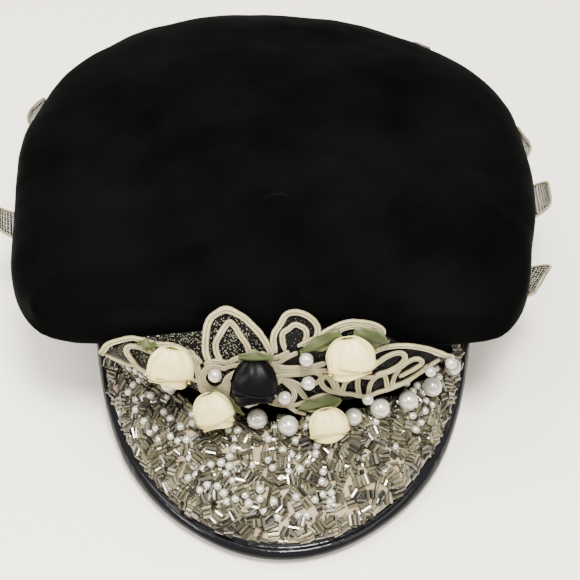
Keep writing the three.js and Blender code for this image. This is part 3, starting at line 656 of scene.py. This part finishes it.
def on_peak(around, in_from_edge, lift):
    """A point so many millimetres in from the edge, and lifted off the surface."""
    out = 1 - in_from_edge / peak_depth(around)
    along = peak_point(around + 0.01, out) - peak_point(around - 0.01, out)
    outward = peak_point(around, out + 0.01) - peak_point(around, out - 0.01)
    return peak_point(around, out) + outward.cross(along).normalized() * lift


# %% [markdown]
# The edge of the peak is bound with a rolled strip of patent cloth, thick and round outside, flat
# towards the beads, with a sunk line of stitching along its inner side.

# %% Make the piping
def piping_surface(u, v):
    around = -1 + 2 * u
    side = sideness(around)
    tuck = PIPING["tuck"] * (1 - side)
    width = min(bead_edge(around), peak_depth(around) - 2.5) - tuck
    ease = math.cos(2 * math.pi * v)  # 1 at the outer edge, -1 at the inner
    in_from_edge = tuck + width / 2 * (1 - math.copysign(abs(ease) ** 0.85, ease))
    rise = math.sin(2 * math.pi * v)
    slim = 1 - 0.22 * smooth_step(0.2, 1, -ease)
    lift = (PIPING["thickness"] / 2 - 0.4 + side) * rise * slim - 0.4
    if rise > 0:
        lift -= 0.6 * math.exp(-((in_from_edge - tuck - 0.75 * width) / 0.45) ** 2)
        lift -= 0.15 * noise.noise(Vector((u * 90, v * 4, 0)))
    return on_peak(around, in_from_edge, lift)


bm = bmesh.new()
bend_grid(bm, 200, 40, piping_surface, size=(310, 26), join=True)
fill_ends(bm)
bmesh.ops.recalc_face_normals(bm, faces=bm.faces)
piece("peak_patent_roll", bm, patent, "patent", ["peak_piping"])

# %% [markdown]
# A glued cloth covers the plate of the peak under the beads.

# %% Make the ground of the beading
BED = {"low": PEAK["wall"] / 2 + GAP, "cloth": 0.9, "tip": 0.93, "deepest": 54}


def bed_surface(u, v):
    around = BED["tip"] * (2 * u - 1)
    start, end = peak_depth(around) - 2, bead_edge(around) + 2 * GAP
    lift = BED["low"] + BED["cloth"] + 0.25 * noise.noise(Vector((u * 60, v * 20, 0)))
    return on_peak(around, start + (end - start) * v, lift)


bm = bmesh.new()
bend_grid(bm, 120, 30, bed_surface, size=(230, 52))
ground = piece("bead_ground", bm, ground_cloth, "beading", ["bead_bed"], BED["cloth"])
cut_sheet(ground, 235, 58, 0.75, "stretched", ["peak_plate"])

# %% [markdown]
# The beads are scattered over the ground and sewn down in short rows, side by side. At the left end
# the beading climbs the band, up to the applique. A bead is an eight-sided tube with a bore sunk
# into each end, painted dark as shade.

# %% Places for the beads
BEAD = {"length": 5.1, "radius": 1.05, "apart": 5.0, "sides": 8, "top_rows": 190,
        "climbing_rows": 95, "edge_step": 4.2, "edge_in": 1.4}
CLIMB = {"first": -0.8, "last": -0.34, "foot": 3, "up": 21}  # shares round the band, and heights
sewing = random.Random(7)


def on_band(around, up, lift):
    return band_point(around * PEAK["inner_sweep"], up, lift)


def stand_on(surface, a, b, lift):
    """The matrix of a place on the peak or the band, with its Z out of the surface."""
    here = surface(a, b, lift)
    side = (surface(a + 0.01, b, lift) - surface(a - 0.01, b, lift)).normalized()
    up = (surface(a, b, lift + 1) - here).normalized()
    return Matrix.Translation(here) @ Matrix((side, up.cross(side), up)).transposed().to_4x4()


def bead_level(around, inward):
    """The beads lie lower close to the binding, where the peak stands steep at its sides."""
    close = 1 - smooth_step(2, 12, inward - bead_edge(around))
    return BED["low"] + 1.9 - 0.7 * close * smooth_step(0.25, 0.6, abs(around))


def stride(around, inward):
    """How many millimetres a whole share round the peak would come to, from here."""
    return (on_peak(around + 0.02, inward, 0) - on_peak(around, inward, 0)).length / 0.02


def peak_spot(margin):
    """A place anywhere on the beading, as likely in one part of it as in another."""
    while True:
        around = sewing.uniform(-1, 1) * BED["tip"]
        start, end = peak_depth(around) - margin, bead_edge(around) + margin
        if sewing.random() * BED["deepest"] < start - end:
            return around, sewing.uniform(end, start)


def even_spots(margin, apart):
    """Places spread evenly over the peak, each a little off its own point of a grid."""
    rows = int(peak_depth(0) / apart)
    for row in range(rows):
        inward = PIPING["width"] + margin + row * apart
        around = -BED["tip"]
        while around < BED["tip"]:
            step = stride(around, inward)
            around += apart / step
            nudged = inward + sewing.uniform(-0.3, 0.3) * apart
            if bead_edge(around) + margin < nudged < peak_depth(around) - margin + 1:
                yield around + sewing.uniform(-0.3, 0.3) * apart / step, nudged


def band_spot():
    while True:
        around = sewing.uniform(CLIMB["first"], CLIMB["last"])
        up = sewing.uniform(CLIMB["foot"], CLIMB["up"])
        from_end = min(CLIMB["last"] - around, around - CLIMB["first"])
        if up < CLIMB["foot"] + (CLIMB["up"] - CLIMB["foot"]) * smooth_step(0, 0.2, from_end):
            return around, up


# %% Make the bugle beads
bm = bmesh.new()
tone_and_painted_shade = bm.faces.layers.float.new("tone_and_painted_shade")
bores = []


def sew_row(stand, turn, room=math.inf):
    """A row of beads side by side. room is how far the place lies from the piping."""
    count = sewing.choice((1, 2, 3, 3, 4))
    radius = BEAD["radius"] * sewing.uniform(0.9, 1.05)
    length = BEAD["length"] * sewing.uniform(0.72, 1.05)
    tone = min(max(sewing.gauss(0.5, 0.28), 0.05), 1.0)
    standing = sewing.random() < 0.07
    for k in range(count):
        step = (k - (count - 1) / 2) * 2.05 * radius
        if room + step * math.cos(turn) < abs(math.sin(turn)) * length / 2 + 0.1:
            continue
        tilt = sewing.uniform(0.9, 1.4) if standing else sewing.uniform(-0.22, 0.22)
        lay = Matrix.Rotation(turn + sewing.uniform(-0.1, 0.1), 4, "Z")
        lay = lay @ Matrix.Translation((0, step, 0)) @ Matrix.Rotation(math.pi / 2 + tilt, 4, "Y")
        lay = lay @ Matrix.Rotation(sewing.uniform(0, math.pi), 4, "Z")
        made = bmesh.ops.create_cone(bm, segments=BEAD["sides"], radius1=radius, radius2=radius,
                                     depth=length, cap_ends=True, matrix=stand @ lay)["verts"]
        for face in faces_of(made):
            # painted reflection: each side of a bead gets its own lighter or darker streak
            painted_streak = sewing.choice((-0.45, -0.2, 0.1, 0.3))
            face[tone_and_painted_shade] = min(max(tone + painted_streak, 0.0), 1.0)
            if len(face.verts) == BEAD["sides"]:
                bores.append(face)


bottom = [(spot, 0) for spot in even_spots(1.6, BEAD["apart"])]
top = [(peak_spot(3), 1.5) for _ in range(BEAD["top_rows"])]
for spot, layer in bottom + top:
    level = bead_level(*spot) + layer + sewing.choice((0, 0.3, 0.9))
    sew_row(stand_on(on_peak, *spot, level), sewing.uniform(0, math.pi), spot[1] - bead_edge(spot[0]))
around = -BED["tip"]
while around < BED["tip"]:  # one row of beads all along the binding
    around += BEAD["edge_step"] / stride(around, 12)
    inward = bead_edge(around) + BEAD["edge_in"]
    if inward + 3 < peak_depth(around):
        level = bead_level(around, inward) + sewing.choice((0, 0.3, 0.7))
        sew_row(stand_on(on_peak, around, inward, level), sewing.uniform(-0.5, 0.5), BEAD["edge_in"])
for _ in range(BEAD["climbing_rows"]):
    level = 1.3 + sewing.choice((0, 0.9, 1.8))
    sew_row(stand_on(on_band, *band_spot(), level), sewing.uniform(0, math.pi))
print("rows of beads:", len(bottom) + len(top) + BEAD["climbing_rows"])
bmesh.ops.inset_individual(bm, faces=bores, thickness=0.4, depth=-0.7)
# painted shade: the sunk bores at the ends of the beads are coloured dark
for face in bores:
    face[tone_and_painted_shade] = 0.0
beads = piece("bugle_beads", bm, bead_glass, "beading")
beads.data.polygons.foreach_set("use_smooth", [False] * len(beads.data.polygons))

# %% [markdown]
# The small pearls lie among the beads, in little strings of up to four.

# %% Make the small pearls
SMALL_PEARL = {"count": 120, "least": 1.85, "most": 2.3, "apart": 4}
BEAD_OVAL = {"half_width": 88, "depth": 125}  # the pearls keep inside it, clear of the binding
bm = bmesh.new()
taken = []
while len(taken) < SMALL_PEARL["count"]:
    climbing = sewing.random() < 0.12
    surface, low = (on_band, 2.7) if climbing else (on_peak, BED["low"] + 3.2)
    a, b = band_spot() if climbing else peak_spot(3.6)
    heading = sewing.uniform(0, math.pi)
    for k in range(sewing.choice((1, 1, 2, 3, 4))):
        radius = sewing.uniform(SMALL_PEARL["least"], SMALL_PEARL["most"])
        here = (stand_on(surface, a, b, low) @ Matrix.Rotation(heading, 4, "Z")
                @ Vector((k * 4.3, sewing.uniform(-0.8, 0.8), 0)))
        clear = all((here - other).length > SMALL_PEARL["apart"] for other in taken)
        outside = ((here.y - PEAK["centre_y"]) ** 2 / BEAD_OVAL["depth"] ** 2
                   + here.x ** 2 / BEAD_OVAL["half_width"] ** 2 > 1)
        if clear and not outside:
            taken.append(here)
            bmesh.ops.create_icosphere(bm, subdivisions=3, radius=radius,
                                       matrix=Matrix.Translation(here))
piece("small_pearls", bm, pearl, "pearl")

# %% [markdown]
# ## Applique
# The applique is drawn in a flat pattern, across and up from the foot of the band, and is laid on a
# surface that stands just off the band and the crown above it.

# %% Applique surface
# height up, half width, front, squareness
FRONT_DRAPE = [
    (-6, 101, 83, 2), (0, 99, 80, 2.1), (15, 99, 78.4, 2.3), (30, 100, 78, 3),
    (45, 102, 77.7, 4.5), (60, 102, 77, 4.5), (72, 100, 74, 4), (80, 98, 70, 4),
]
NET_THICK = 1.0
CORD_THICK = 1.7
CORD_LEVEL = NET_THICK + 3 * GAP
TOP_LEVEL = CORD_LEVEL + CORD_THICK + GAP


def drape_point(across, up):
    half_width, front, square = from_rows(FRONT_DRAPE, up)
    share = min(abs(across) / half_width, 0.999)
    return Vector((across, BAND["centre_y"] - front * (1 - share ** square) ** (1 / square), up))


def drape_frame(across, up):
    """A point of the drape, and the ways to its side, up it and out of it."""
    side = (drape_point(across + 1, up) - drape_point(across - 1, up)).normalized()
    rise = (drape_point(across, up + 1) - drape_point(across, up - 1)).normalized()
    out = side.cross(rise).normalized()
    return drape_point(across, up), side, out.cross(side), out


def on_applique(across, up, level):
    origin, _, _, out = drape_frame(across, up)
    return origin + out * level


# %% [markdown]
# Under the cords lies metal net, cut a little inside their outline. It is in two halves that meet
# behind the black rose.

# %% Make the nets
# across, lower edge, upper edge
NET_LEFT = [(-81, 33, 41), (-77, 32, 46), (-66, 28, 54), (-54, 26, 57), (-42, 22, 59), (-36, 18, 60),
            (-31, 20, 67), (-25, 18, 69.5), (-17, 14, 66), (-10, 16, 58), (-6, 19, 50)]
NET_RIGHT = [(-5, 15, 53), (0, 14, 65), (6, 14, 69), (13, 15, 66), (20, 16, 60), (30, 16, 64),
             (40, 17, 63), (46, 17, 58), (56, 20, 50), (68, 29, 47), (77, 36, 41)]
NET_HEIGHT = 54  # of the rectangle that each half is cut from


def make_net(name, node, outline, finish):
    first, last = outline[0][0], outline[-1][0]

    def surface(u, v):
        across = first + (last - first) * u
        low, high = from_rows(outline, across)
        return on_applique(across, low + (high - low) * v, 0.75)

    bm = bmesh.new()
    bend_grid(bm, 90, 50, surface, size=(last - first, 42))
    bmesh.ops.recalc_face_normals(bm, faces=bm.faces)
    made = piece(name, bm, finish, "metal_net", [node], thickness=0.5)
    cut_sheet(made, last - first + 6, NET_HEIGHT, 0.7, "laid", ["crown"])


make_net("left_net", "net_left", NET_LEFT, metal_net)
make_net("right_net", "net_right", NET_RIGHT, dark_net)

# %% [markdown]
# ## Braid
# The applique is drawn with soutache, a flat braid with a groove down its middle. It is laid on
# edgeless curves that were traced from the flower, and is a tube whose cross-section has one
# rounded ridge for each strand. The heart of the flower is a bundle of finer, tan strands.

# %% Laying a braid along a route
BRAID_THICK = 1.8


def braid_section(v, strands):
    """Across and up, as shares of a braid's width and thickness, at a share of the way round it."""
    turn = 2 * math.pi * v
    ridge = abs(math.sin(strands * (math.cos(turn) + 1) * math.pi / 2)) ** 0.5
    swell = 0.2 + 0.8 * ridge if math.sin(turn) > 0 else 0.8
    return math.cos(turn) / 2, 0.5 + 0.5 * math.sin(turn) * swell


def lay_braid(bm, route, base, width, strands):
    run = run_of(route)

    def surface(u, v):
        here, ahead = Vector(at_share(route, u)), way_at(route, u)
        sideways, height = braid_section(v, strands)
        taper = min(1, 0.45 + 9 * min(u, 1 - u))
        sideways *= width * taper
        sideways += 0.15 * noise.noise(Vector((here.x, here.y, width)) * 0.7)
        return on_applique(here.x - ahead.y * sideways, here.y + ahead.x * sideways,
                           base + height * BRAID_THICK)

    bend_grid(bm, max(int(run / 0.8), 8), 10 * strands, surface, size=(run, 1), join=True)
    fill_ends(bm)


# %% [markdown]
# Each row is a width, a height over the net and the route itself, in millimetres across and up.

# %% Routes of the flower
FLOWER_BRAIDS = [
    (3.3, 0.2, [(-33, 42), (-35, 49), (-34, 62), (-31, 68), (-25, 71), (-18, 68), (-13, 63),
                (-9, 58), (-6, 51), (-5, 47)]),
    (2.9, 0.1, [(-28, 43), (-30, 49), (-30, 55), (-27, 61), (-24, 65), (-22, 64), (-19, 59),
                (-16, 53), (-15, 47)]),
    (3.0, 0.1, [(-3, 49), (-4, 58), (-1, 64), (2, 69), (6, 70), (10, 69), (14, 66), (16, 62),
                (15, 57), (12, 53)]),
    (2.7, 0.0, [(1, 50), (0, 59), (3, 62), (6, 64), (10, 62), (11, 59), (10, 55)]),
    (2.9, 0.3, [(7, 53), (16, 58), (22, 62), (29, 65), (35, 65), (40, 64), (44, 62), (46, 59)]),
    (2.2, 0.1, [(9, 53), (17, 56), (23, 59), (28, 62), (34, 63), (39, 62), (43, 60)]),
]
HEART_BRAIDS = [
    (3.4, 0.6, [(-19, 39), (-25, 34), (-27, 29), (-31, 26), (-35, 28), (-37, 33), (-35, 39),
                (-31, 41), (-26, 39)]),
    (3.4, 0.2, [(-42, 50), (-40, 44), (-39, 37), (-38, 29), (-37, 22)]),
    (3.0, 0.3, [(-36, 42), (-30, 44), (-25, 43), (-22, 45), (-17, 47)]),
    (2.6, 0.5, [(-28, 39), (-24, 41), (-20, 42), (-17, 44)]),
    (2.8, 0.1, [(-37, 25), (-32, 23), (-28, 25), (-24, 30)]),
    (3.2, 0.4, [(-25, 31), (-26, 25), (-26, 20), (-22, 16)]),
    (3.0, 0.2, [(-37, 21.5), (-32, 21.5), (-28, 21), (-25, 19), (-22, 17), (-17, 15.5),
                (-13, 17), (-8, 22)]),
    (3.2, 0.4, [(-8, 46), (-5, 42), (1, 40), (9, 40), (15, 41), (20, 43)]),
    (3.2, 0.2, [(-4, 38), (3, 38), (11, 38), (21, 38)]),
    (2.6, 0.5, [(-4, 35), (3, 35.5), (9, 36), (15, 37), (18, 34), (15, 30), (9, 29), (3, 32),
                (-3, 33)]),
    (3.0, 0.3, [(-3, 32), (3, 31), (7, 27), (11, 20)]),
    (2.7, 0.5, [(-1, 32), (-4.5, 27), (-4, 22), (-1, 17.5), (3, 17), (5.5, 22), (4.5, 27),
                (0, 32)]),
    (2.8, 0.2, [(-8, 22), (-6, 18), (-1, 16), (4, 15.5), (9, 17), (14, 20), (19, 22), (23, 21)]),
    (2.2, 0.1, [(2, 15.5), (6, 12), (11, 10)]),
    (2.8, 0.5, [(-10, 46), (-5, 46), (-1, 47), (3, 50)]),
    (2.6, 0.2, [(-6, 43), (-2, 43), (2, 46), (7, 49)]),
    (2.2, 0.0, [(-10, 49), (-7, 47), (-5, 43), (-4, 38), (-5, 31), (-7, 24)]),
]
RIGHT_BRAIDS = [
    (3.0, 0.3, [(38, 47), (45, 51), (50, 52), (56, 52), (63, 50), (69, 47), (76, 42), (79, 38)]),
    (2.8, 0.4, [(37, 35), (44, 43), (49, 47), (54, 48), (56, 45), (54, 41), (49, 37), (43, 35)]),
    (2.6, 0.5, [(42, 33), (48, 36), (54, 39), (58, 43), (62, 44), (64, 41), (62, 38), (57, 34),
                (54, 32)]),
    (2.8, 0.2, [(22, 35), (30, 33), (35, 34), (42, 33), (48, 35.5)]),
    (2.8, 0.3, [(21, 36), (18, 32), (19, 28), (22, 25), (27, 23), (32, 22), (36, 20), (40, 19),
                (45, 21), (50, 22), (57, 25), (62, 29), (66, 34), (69, 38), (72, 41)]),
    (2.2, 0.1, [(50, 24), (55, 25), (60, 28), (64, 33), (67, 37)]),
    (2.4, 0.0, [(19, 35), (22, 32), (24, 27), (26, 23)]),
    (2.4, 0.0, [(24, 34), (25, 29), (27, 23)]),
    (2.4, 0.0, [(32, 33), (29, 29), (28, 23)]),
    (2.6, 0.0, [(35, 34), (35, 27), (36, 20)]),
    (2.4, 0.0, [(44, 34), (41, 28), (40, 20)]),
    (2.4, 0.0, [(47, 35), (48, 30), (49, 22)]),
    (2.4, 0.0, [(54, 37), (52, 32), (51, 24)]),
]
LEFT_BRAIDS = [
    (2.8, 0.3, [(-37, 43), (-41, 47), (-46, 51), (-51, 53), (-57, 53), (-67, 55), (-74, 52),
                (-80, 47), (-84, 38), (-84.5, 31)]),
    (2.8, 0.4, [(-58, 47), (-64, 50), (-69, 50), (-71, 47), (-69, 41), (-67, 36), (-64, 33),
                (-58, 31)]),
    (2.4, 0.1, [(-82, 39), (-77, 37), (-72, 36), (-68, 37)]),
    (2.4, 0.1, [(-54, 35), (-46, 33), (-42, 31), (-38, 30)]),
    (2.2, 0.5, [(-52, 50), (-45, 48), (-40, 46), (-37, 43)]),
]

# %% Make the applique's braid
def braid_piece(name, rows, finish, strands, nodes):
    bm = bmesh.new()
    for order, (width, level, route) in enumerate(rows):
        lay_braid(bm, route, CORD_LEVEL - 0.5 + level + 0.05 * (order % 3), width, strands)
    piece(name, bm, finish, "soutache", nodes)


braid_piece("flower_braid", FLOWER_BRAIDS, cream_braid, 2, ["flower_cords"])
braid_piece("heart_braid", HEART_BRAIDS, tan_braid, 3, [])
braid_piece("right_leaf_braid", RIGHT_BRAIDS, cream_braid, 2, ["leaf_cords_right"])
braid_piece("left_leaf_braid", LEFT_BRAIDS, cream_braid, 2, ["leaf_cords_left"])

# %% [markdown]
# ## Ribbon roses
# A ribbon rose is a length of satin rolled round itself. Its heart is a tight spiral, and the last
# turns stand off it as broad petals that overlap. These hang with the calyx up and the mouth down.
# A petal follows the bud's own swelling shape, gathered at the calyx, and its lower hem is rolled
# outwards.

# %% Rose tables
# name, across, up, width, length, lean, tip, sink
ROSES = [
    ("rose_left", -50, 48, 22, 16, -8, 22, 0.9), ("rose_lower_left", -31.5, 20, 20, 16, 22, 30, 0.4),
    ("rose_black", -13, 38, 22, 19, 0, 30, 2.3), ("rose_right", 30, 54, 23, 17, 8, 22, 0.9),
    ("rose_lower_right", 20, 10.5, 19, 14, 8, 25, 0),
]
# a petal's middle round the bud (90 faces out), its span, its size, its drop and the roll of its hem
ROSE_PETALS = [
    (90, 350, 0.8, 1.0, 0.5), (-90, 240, 0.9, 0.92, 0.5),
    (165, 190, 0.9, 0.85, 0.5), (35, 165, 0.99, 0.77, 0.4),
]
ROSE_FLAT = 0.66
RIBBON_THICK = 0.4
HEM = 0.84  # the share of a petal at which its hem begins to roll


def rose_frame(across, up, width, length, lean, tip, sink):
    _, side, rise, out = drape_frame(across, up)
    down = Matrix.Rotation(math.radians(lean), 3, out) @ -rise
    down = Matrix.Rotation(-math.radians(tip), 3, side) @ down
    wide = out.cross(down).normalized()
    deep = down.cross(wide).normalized()
    backing = width * ROSE_FLAT / 2 * math.cos(math.radians(tip))
    backing += 0.35 * length / 2 * math.sin(math.radians(tip))
    calyx = on_applique(across, up, TOP_LEVEL - sink + backing) - down * length / 2
    return calyx, down, wide, deep


def make_rose(name, across, up, width, length, lean, tip, sink, finish, slot, seed):
    calyx, down, wide, deep = rose_frame(across, up, width, length, lean, tip, sink)

    def bud(turn, along, size, push=0.0):
        swell = math.sin(min(max(along, 0) / 0.6, 1) * math.pi / 2) ** 0.6
        reach = (0.36 + 0.64 * swell - 0.1 * smooth_step(0.72, 1.05, along)) * size * width / 2
        reach += push * (0.6 + 0.4 * math.sin(turn))
        return (calyx + down * along * length + wide * reach * math.cos(turn)
                + deep * ROSE_FLAT * reach * math.sin(turn))

    def heart(u, v):
        return bud(seed + u * 4.5 * math.pi, 0.4 + (0.52 + 0.06 * u) * v, 0.14 + 0.52 * u)

    bm = bmesh.new()
    bend_grid(bm, 90, 8, heart)
    for order, (middle, span, size, drop, roll) in enumerate(ROSE_PETALS):
        def petal(u, v):
            edge = abs(2 * u - 1)
            turn = math.radians(middle + span * (u - 0.5)) + (seed % 3 - 1) * 0.3 + 0.25 * v
            gathers = 0.05 * math.cos(8 * turn + seed + order) * (1 - smooth_step(0.15, 0.7, v))
            soft = 0.035 * noise.noise(Vector((u * 4 + order, v * 2.5, seed)))
            lift = size + 0.06 * smooth_step(0.8, 1, edge) + gathers + soft
            dip = drop + 0.05 * math.sin(2.4 * turn + seed + order) - 0.1 * edge ** 4
            curl = max(v - HEM, 0) / (1 - HEM) * math.pi
            along = dip * min(v / HEM, 1) + roll * math.sin(curl) / length
            return bud(turn, along, lift, roll * (1 - math.cos(curl)))
        bend_grid(bm, 60, 40, petal)
    made = piece(name + "_ribbon", bm, finish, slot, [name], RIBBON_THICK, offset=0)
    cut_sheet(made, length + 4, 6.4 * width, 1, "folded", ["flower_cords"])


for seed, row in enumerate(ROSES):
    black = row[0] == "rose_black"
    finish, slot = (black_satin, "black_satin") if black else (cream_satin, "cream_satin")
    make_rose(*row, finish, slot, seed)

# %% [markdown]
# The leaves are loops of ribbon, folded along the middle and a little wavy at their edges.

# %% Make the leaves
# root across and up, tip across and up, width, level
ROSE_LEAVES = [
    (26, 61.5, 8, 51, 7.5, 0.5), (32, 61.5, 48, 56.5, 8.5, 0.5), (-20, 48, -4, 48, 8, 0.4),
    (-57, 53, -65, 54.5, 6, 0), (-33, 27, -18, 12, 7.5, 1.5), (27, 21, 7, 15, 8.5, 0),
]
for k, (x1, y1, x2, y2, width, level) in enumerate(ROSE_LEAVES):
    start, run = Vector((x1, y1)), Vector((x2 - x1, y2 - y1))
    along = run.normalized()

    def leaf(u, v):
        share = 2 * v - 1
        sideways = share * width / 2 * max(math.sin(math.pi * (0.1 + 0.88 * u)), 0.05) ** 0.7
        here = start + run * u
        crease = 1.7 * math.sin(math.pi * u) * (1 - abs(share)) ** 1.5
        wave = 1.2 * math.sin(12 * u + 2 * k + 2 * share) * share ** 2
        return on_applique(here.x - along.y * sideways, here.y + along.x * sideways,
                           TOP_LEVEL + level + 0.6 + crease + wave)
    bm = bmesh.new()
    bend_grid(bm, 40, 18, leaf)
    made = piece(f"ribbon_leaf_{k + 1}", bm, leaf_ribbon, "leaf_ribbon", [f"rose_leaf_{k + 1}"],
                 RIBBON_THICK, offset=0)
    cut = max(width, 10) + 1, max(run.length, 10) + 1
    kept = max(0.95 * width * run.length / (cut[0] * cut[1]), 0.31)
    cut_sheet(made, *cut, kept, "folded", ["flower_cords"])

# %% [markdown]
# ## Large pearls
# The large pearls keep the places of their plain solids. Each is a round ball with a dimple at both
# ends of its hole.

# %% Make the large pearls
def pearl_at(bm, node):
    low, high = (CAP.inverted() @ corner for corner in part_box(node))
    middle, radius = (low + high) / 2, max(high - low) / 2
    made = bmesh.ops.create_uvsphere(bm, u_segments=28, v_segments=18, radius=radius)["verts"]
    for v in made:
        dimple = math.exp(-((abs(v.co.z) / radius - 1) / 0.02) ** 2)
        v.co.z *= 1 - 0.1 * dimple
    bmesh.ops.rotate(bm, verts=made, matrix=Matrix.Rotation(math.radians(80), 3, (0.3, 1, 0.2)))
    bmesh.ops.translate(bm, verts=made, vec=middle)


for name, node, count in (("applique_pearls", "flower_pearl_", 8), ("band_pearls", "peak_pearl_", 9)):
    bm = bmesh.new()
    nodes = [node + str(k + 1) for k in range(count)]
    for one in nodes:
        pearl_at(bm, one)
    piece(name, bm, pearl, "pearl", nodes)

# %% [markdown]
# ## Side petals
# Petals of open net with a braid edge are sewn to the top of the band. They lie under the overhang
# of the crown, and their tips turn up past its rim.

# %% Side petal tables and surface
# bearing, gap at the root, how far the tip goes past the rim, tip height, half width
SIDE_PETALS = [
    (61, 2.3, 8, 50, 15.5), (87, 2.6, 9, 57, 15), (106, 2.6, 5, 62, 15),
    (143, 1.3, 8, 79, 12.5), (245, 2.1, 7, 67, 14.5), (281, 2.5, 11, 60, 12.5),
]
PETAL = {"root_up": 28, "under_up": 38, "lip_drop": 8, "end": 0.9, "net_lift": 1.4,
         "braid_lift": 0.7, "braid_width": 1.4, "braid_thick": 1.3}


def petal_root(away):
    """How far out from the crown's middle the band is met, going one way."""
    distance = 0
    while True:
        x, y = CROWN["x"] + away.x * distance, CROWN["y"] + away.y * distance - BAND["centre_y"]
        length = BAND["front"] if y < 0 else BAND["back"]
        if (x / BAND["half_width"]) ** 2 + (y / length) ** 2 >= 1:
            return distance
        distance += 0.25


def petal_spine(row):
    bearing, root_gap, beyond, tip_up = row[:4]
    reach, rim = around_rim(bearing)[:2]
    away = Vector((math.sin(math.radians(bearing)), -math.cos(math.radians(bearing))))
    root = petal_root(away) + root_gap
    stops = [(root, PETAL["root_up"]), (root + (reach - root) * 0.6, PETAL["under_up"]),
             (reach + beyond * 0.6, rim - PETAL["lip_drop"]), (reach + beyond, tip_up)]
    return [(CROWN["x"] + away.x * d, CROWN["y"] + away.y * d, up) for d, up in stops]


def petal_place(row, spine):
    across = Vector((math.cos(math.radians(row[0])), math.sin(math.radians(row[0])), 0))

    def place(share, sideways, lift):
        here = Vector(at_share(spine, share))
        return here + across * sideways + across.cross(way_at(spine, share)) * lift
    return place


def petal_half(row, share):
    return row[4] * max(math.sin(math.pi * (0.12 + 0.8 * share)), 0) ** 0.8


# %% Make the side petals
for k, row in enumerate(SIDE_PETALS):
    spine = petal_spine(row)
    place = petal_place(row, spine)
    length = run_of(spine)

    def net(u, v):
        share, across = (PETAL["end"] + 0.03) * u, 2 * v - 1
        ruffle = 0.5 * math.sin(9 * u + 3 * v + k) * (1 - across ** 4)
        lift = PETAL["net_lift"] + ruffle * smooth_step(0.4, 1, u)
        return place(share, across * (petal_half(row, share) - 0.6), lift)
    bm = bmesh.new()
    bend_grid(bm, 50, 26, net, size=(length, 2 * row[4]))
    made = piece(f"net_petal_{k + 1}", bm, open_net, "metal_net", [f"side_petal_{k + 1}"],
                 thickness=0.35)
    cut_sheet(made, length, 2 * row[4], 0.75, "hung", ["band"])
    # the braid goes up one side, over the rounded tip and down the other side
    end, tip = PETAL["end"], petal_half(row, PETAL["end"]) - 1
    side = [(end * i / 7, 1 - petal_half(row, end * i / 7)) for i in range(7)]
    turns = [i / 4 * math.pi for i in range(5)]
    arc = [(end - (1 - end) * 0.3 * (1 - math.sin(turn)), -tip * math.cos(turn)) for turn in turns]
    edge = side + arc + [(share, -sideways) for share, sideways in reversed(side)]
    line = [place(share, sideways, PETAL["braid_lift"]) for share, sideways in edge]

    def rim(u, v):
        share, sideways = at_share(edge, u)
        up = (place(share, sideways, 2) - place(share, sideways, 1)).normalized()
        out = up.cross(way_at(line, u)).normalized()
        sideways, height = braid_section(v, 2)
        return (Vector(at_share(line, u)) + out * PETAL["braid_width"] * sideways
                + up * PETAL["braid_thick"] * height)
    bm = bmesh.new()
    bend_grid(bm, 90, 20, rim, size=(run_of(line), 1), join=True)
    fill_ends(bm)
    bmesh.ops.recalc_face_normals(bm, faces=bm.faces)
    piece(f"petal_braid_{k + 1}", bm, cream_braid, "soutache", [f"side_petal_cord_{k + 1}"])

# %% [markdown]
# ## Studio
# A plain pale floor, a soft light above and behind the camera, and a pale sky.

# %% Floor and light
bm = bmesh.new()
bmesh.ops.create_grid(bm, x_segments=1, y_segments=1, size=2.0)
floor_mesh = bpy.data.meshes.new("floor")
bm.to_mesh(floor_mesh)
bm.free()
floor_mesh.materials.append(cloudy_finish(
    "pale_table", (3.0, 0.5, (0.9, 0.84, 0.74), (0.95, 0.895, 0.8), 60.0), Roughness=0.7))
floor = bpy.data.objects.new("floor", floor_mesh)
bpy.context.scene.collection.objects.link(floor)


def soft_light(name, place, size, power, tint):
    lamp = bpy.data.lights.new(name, "AREA")
    lamp.size = size
    lamp.energy = power
    lamp.color = tint
    made = bpy.data.objects.new(name, lamp)
    made.location = place
    made.rotation_euler = (Vector(place) - target).to_track_quat("Z", "Y").to_euler()
    bpy.context.scene.collection.objects.link(made)


# name, place and size in metres, watts, tint
soft_light("window", (-0.5, 0.35, 1.3), 0.8, 19, (1.0, 0.985, 0.96))
soft_light("room", (0.9, -0.6, 1.1), 0.9, 10, (1.0, 0.98, 0.94))
soft_light("lamp", (0.1, -0.35, 1.15), 0.3, 36, (1.0, 0.985, 0.95))
soft_light("side_lamp", (-0.75, -0.5, 0.75), 0.25, 8, (1.0, 0.985, 0.95))
world = bpy.data.worlds.new("studio")
world.use_nodes = True
world.node_tree.nodes["Background"].inputs["Color"].default_value = (1.0, 0.99, 0.97, 1)
world.node_tree.nodes["Background"].inputs["Strength"].default_value = 0.86
bpy.context.scene.world = world
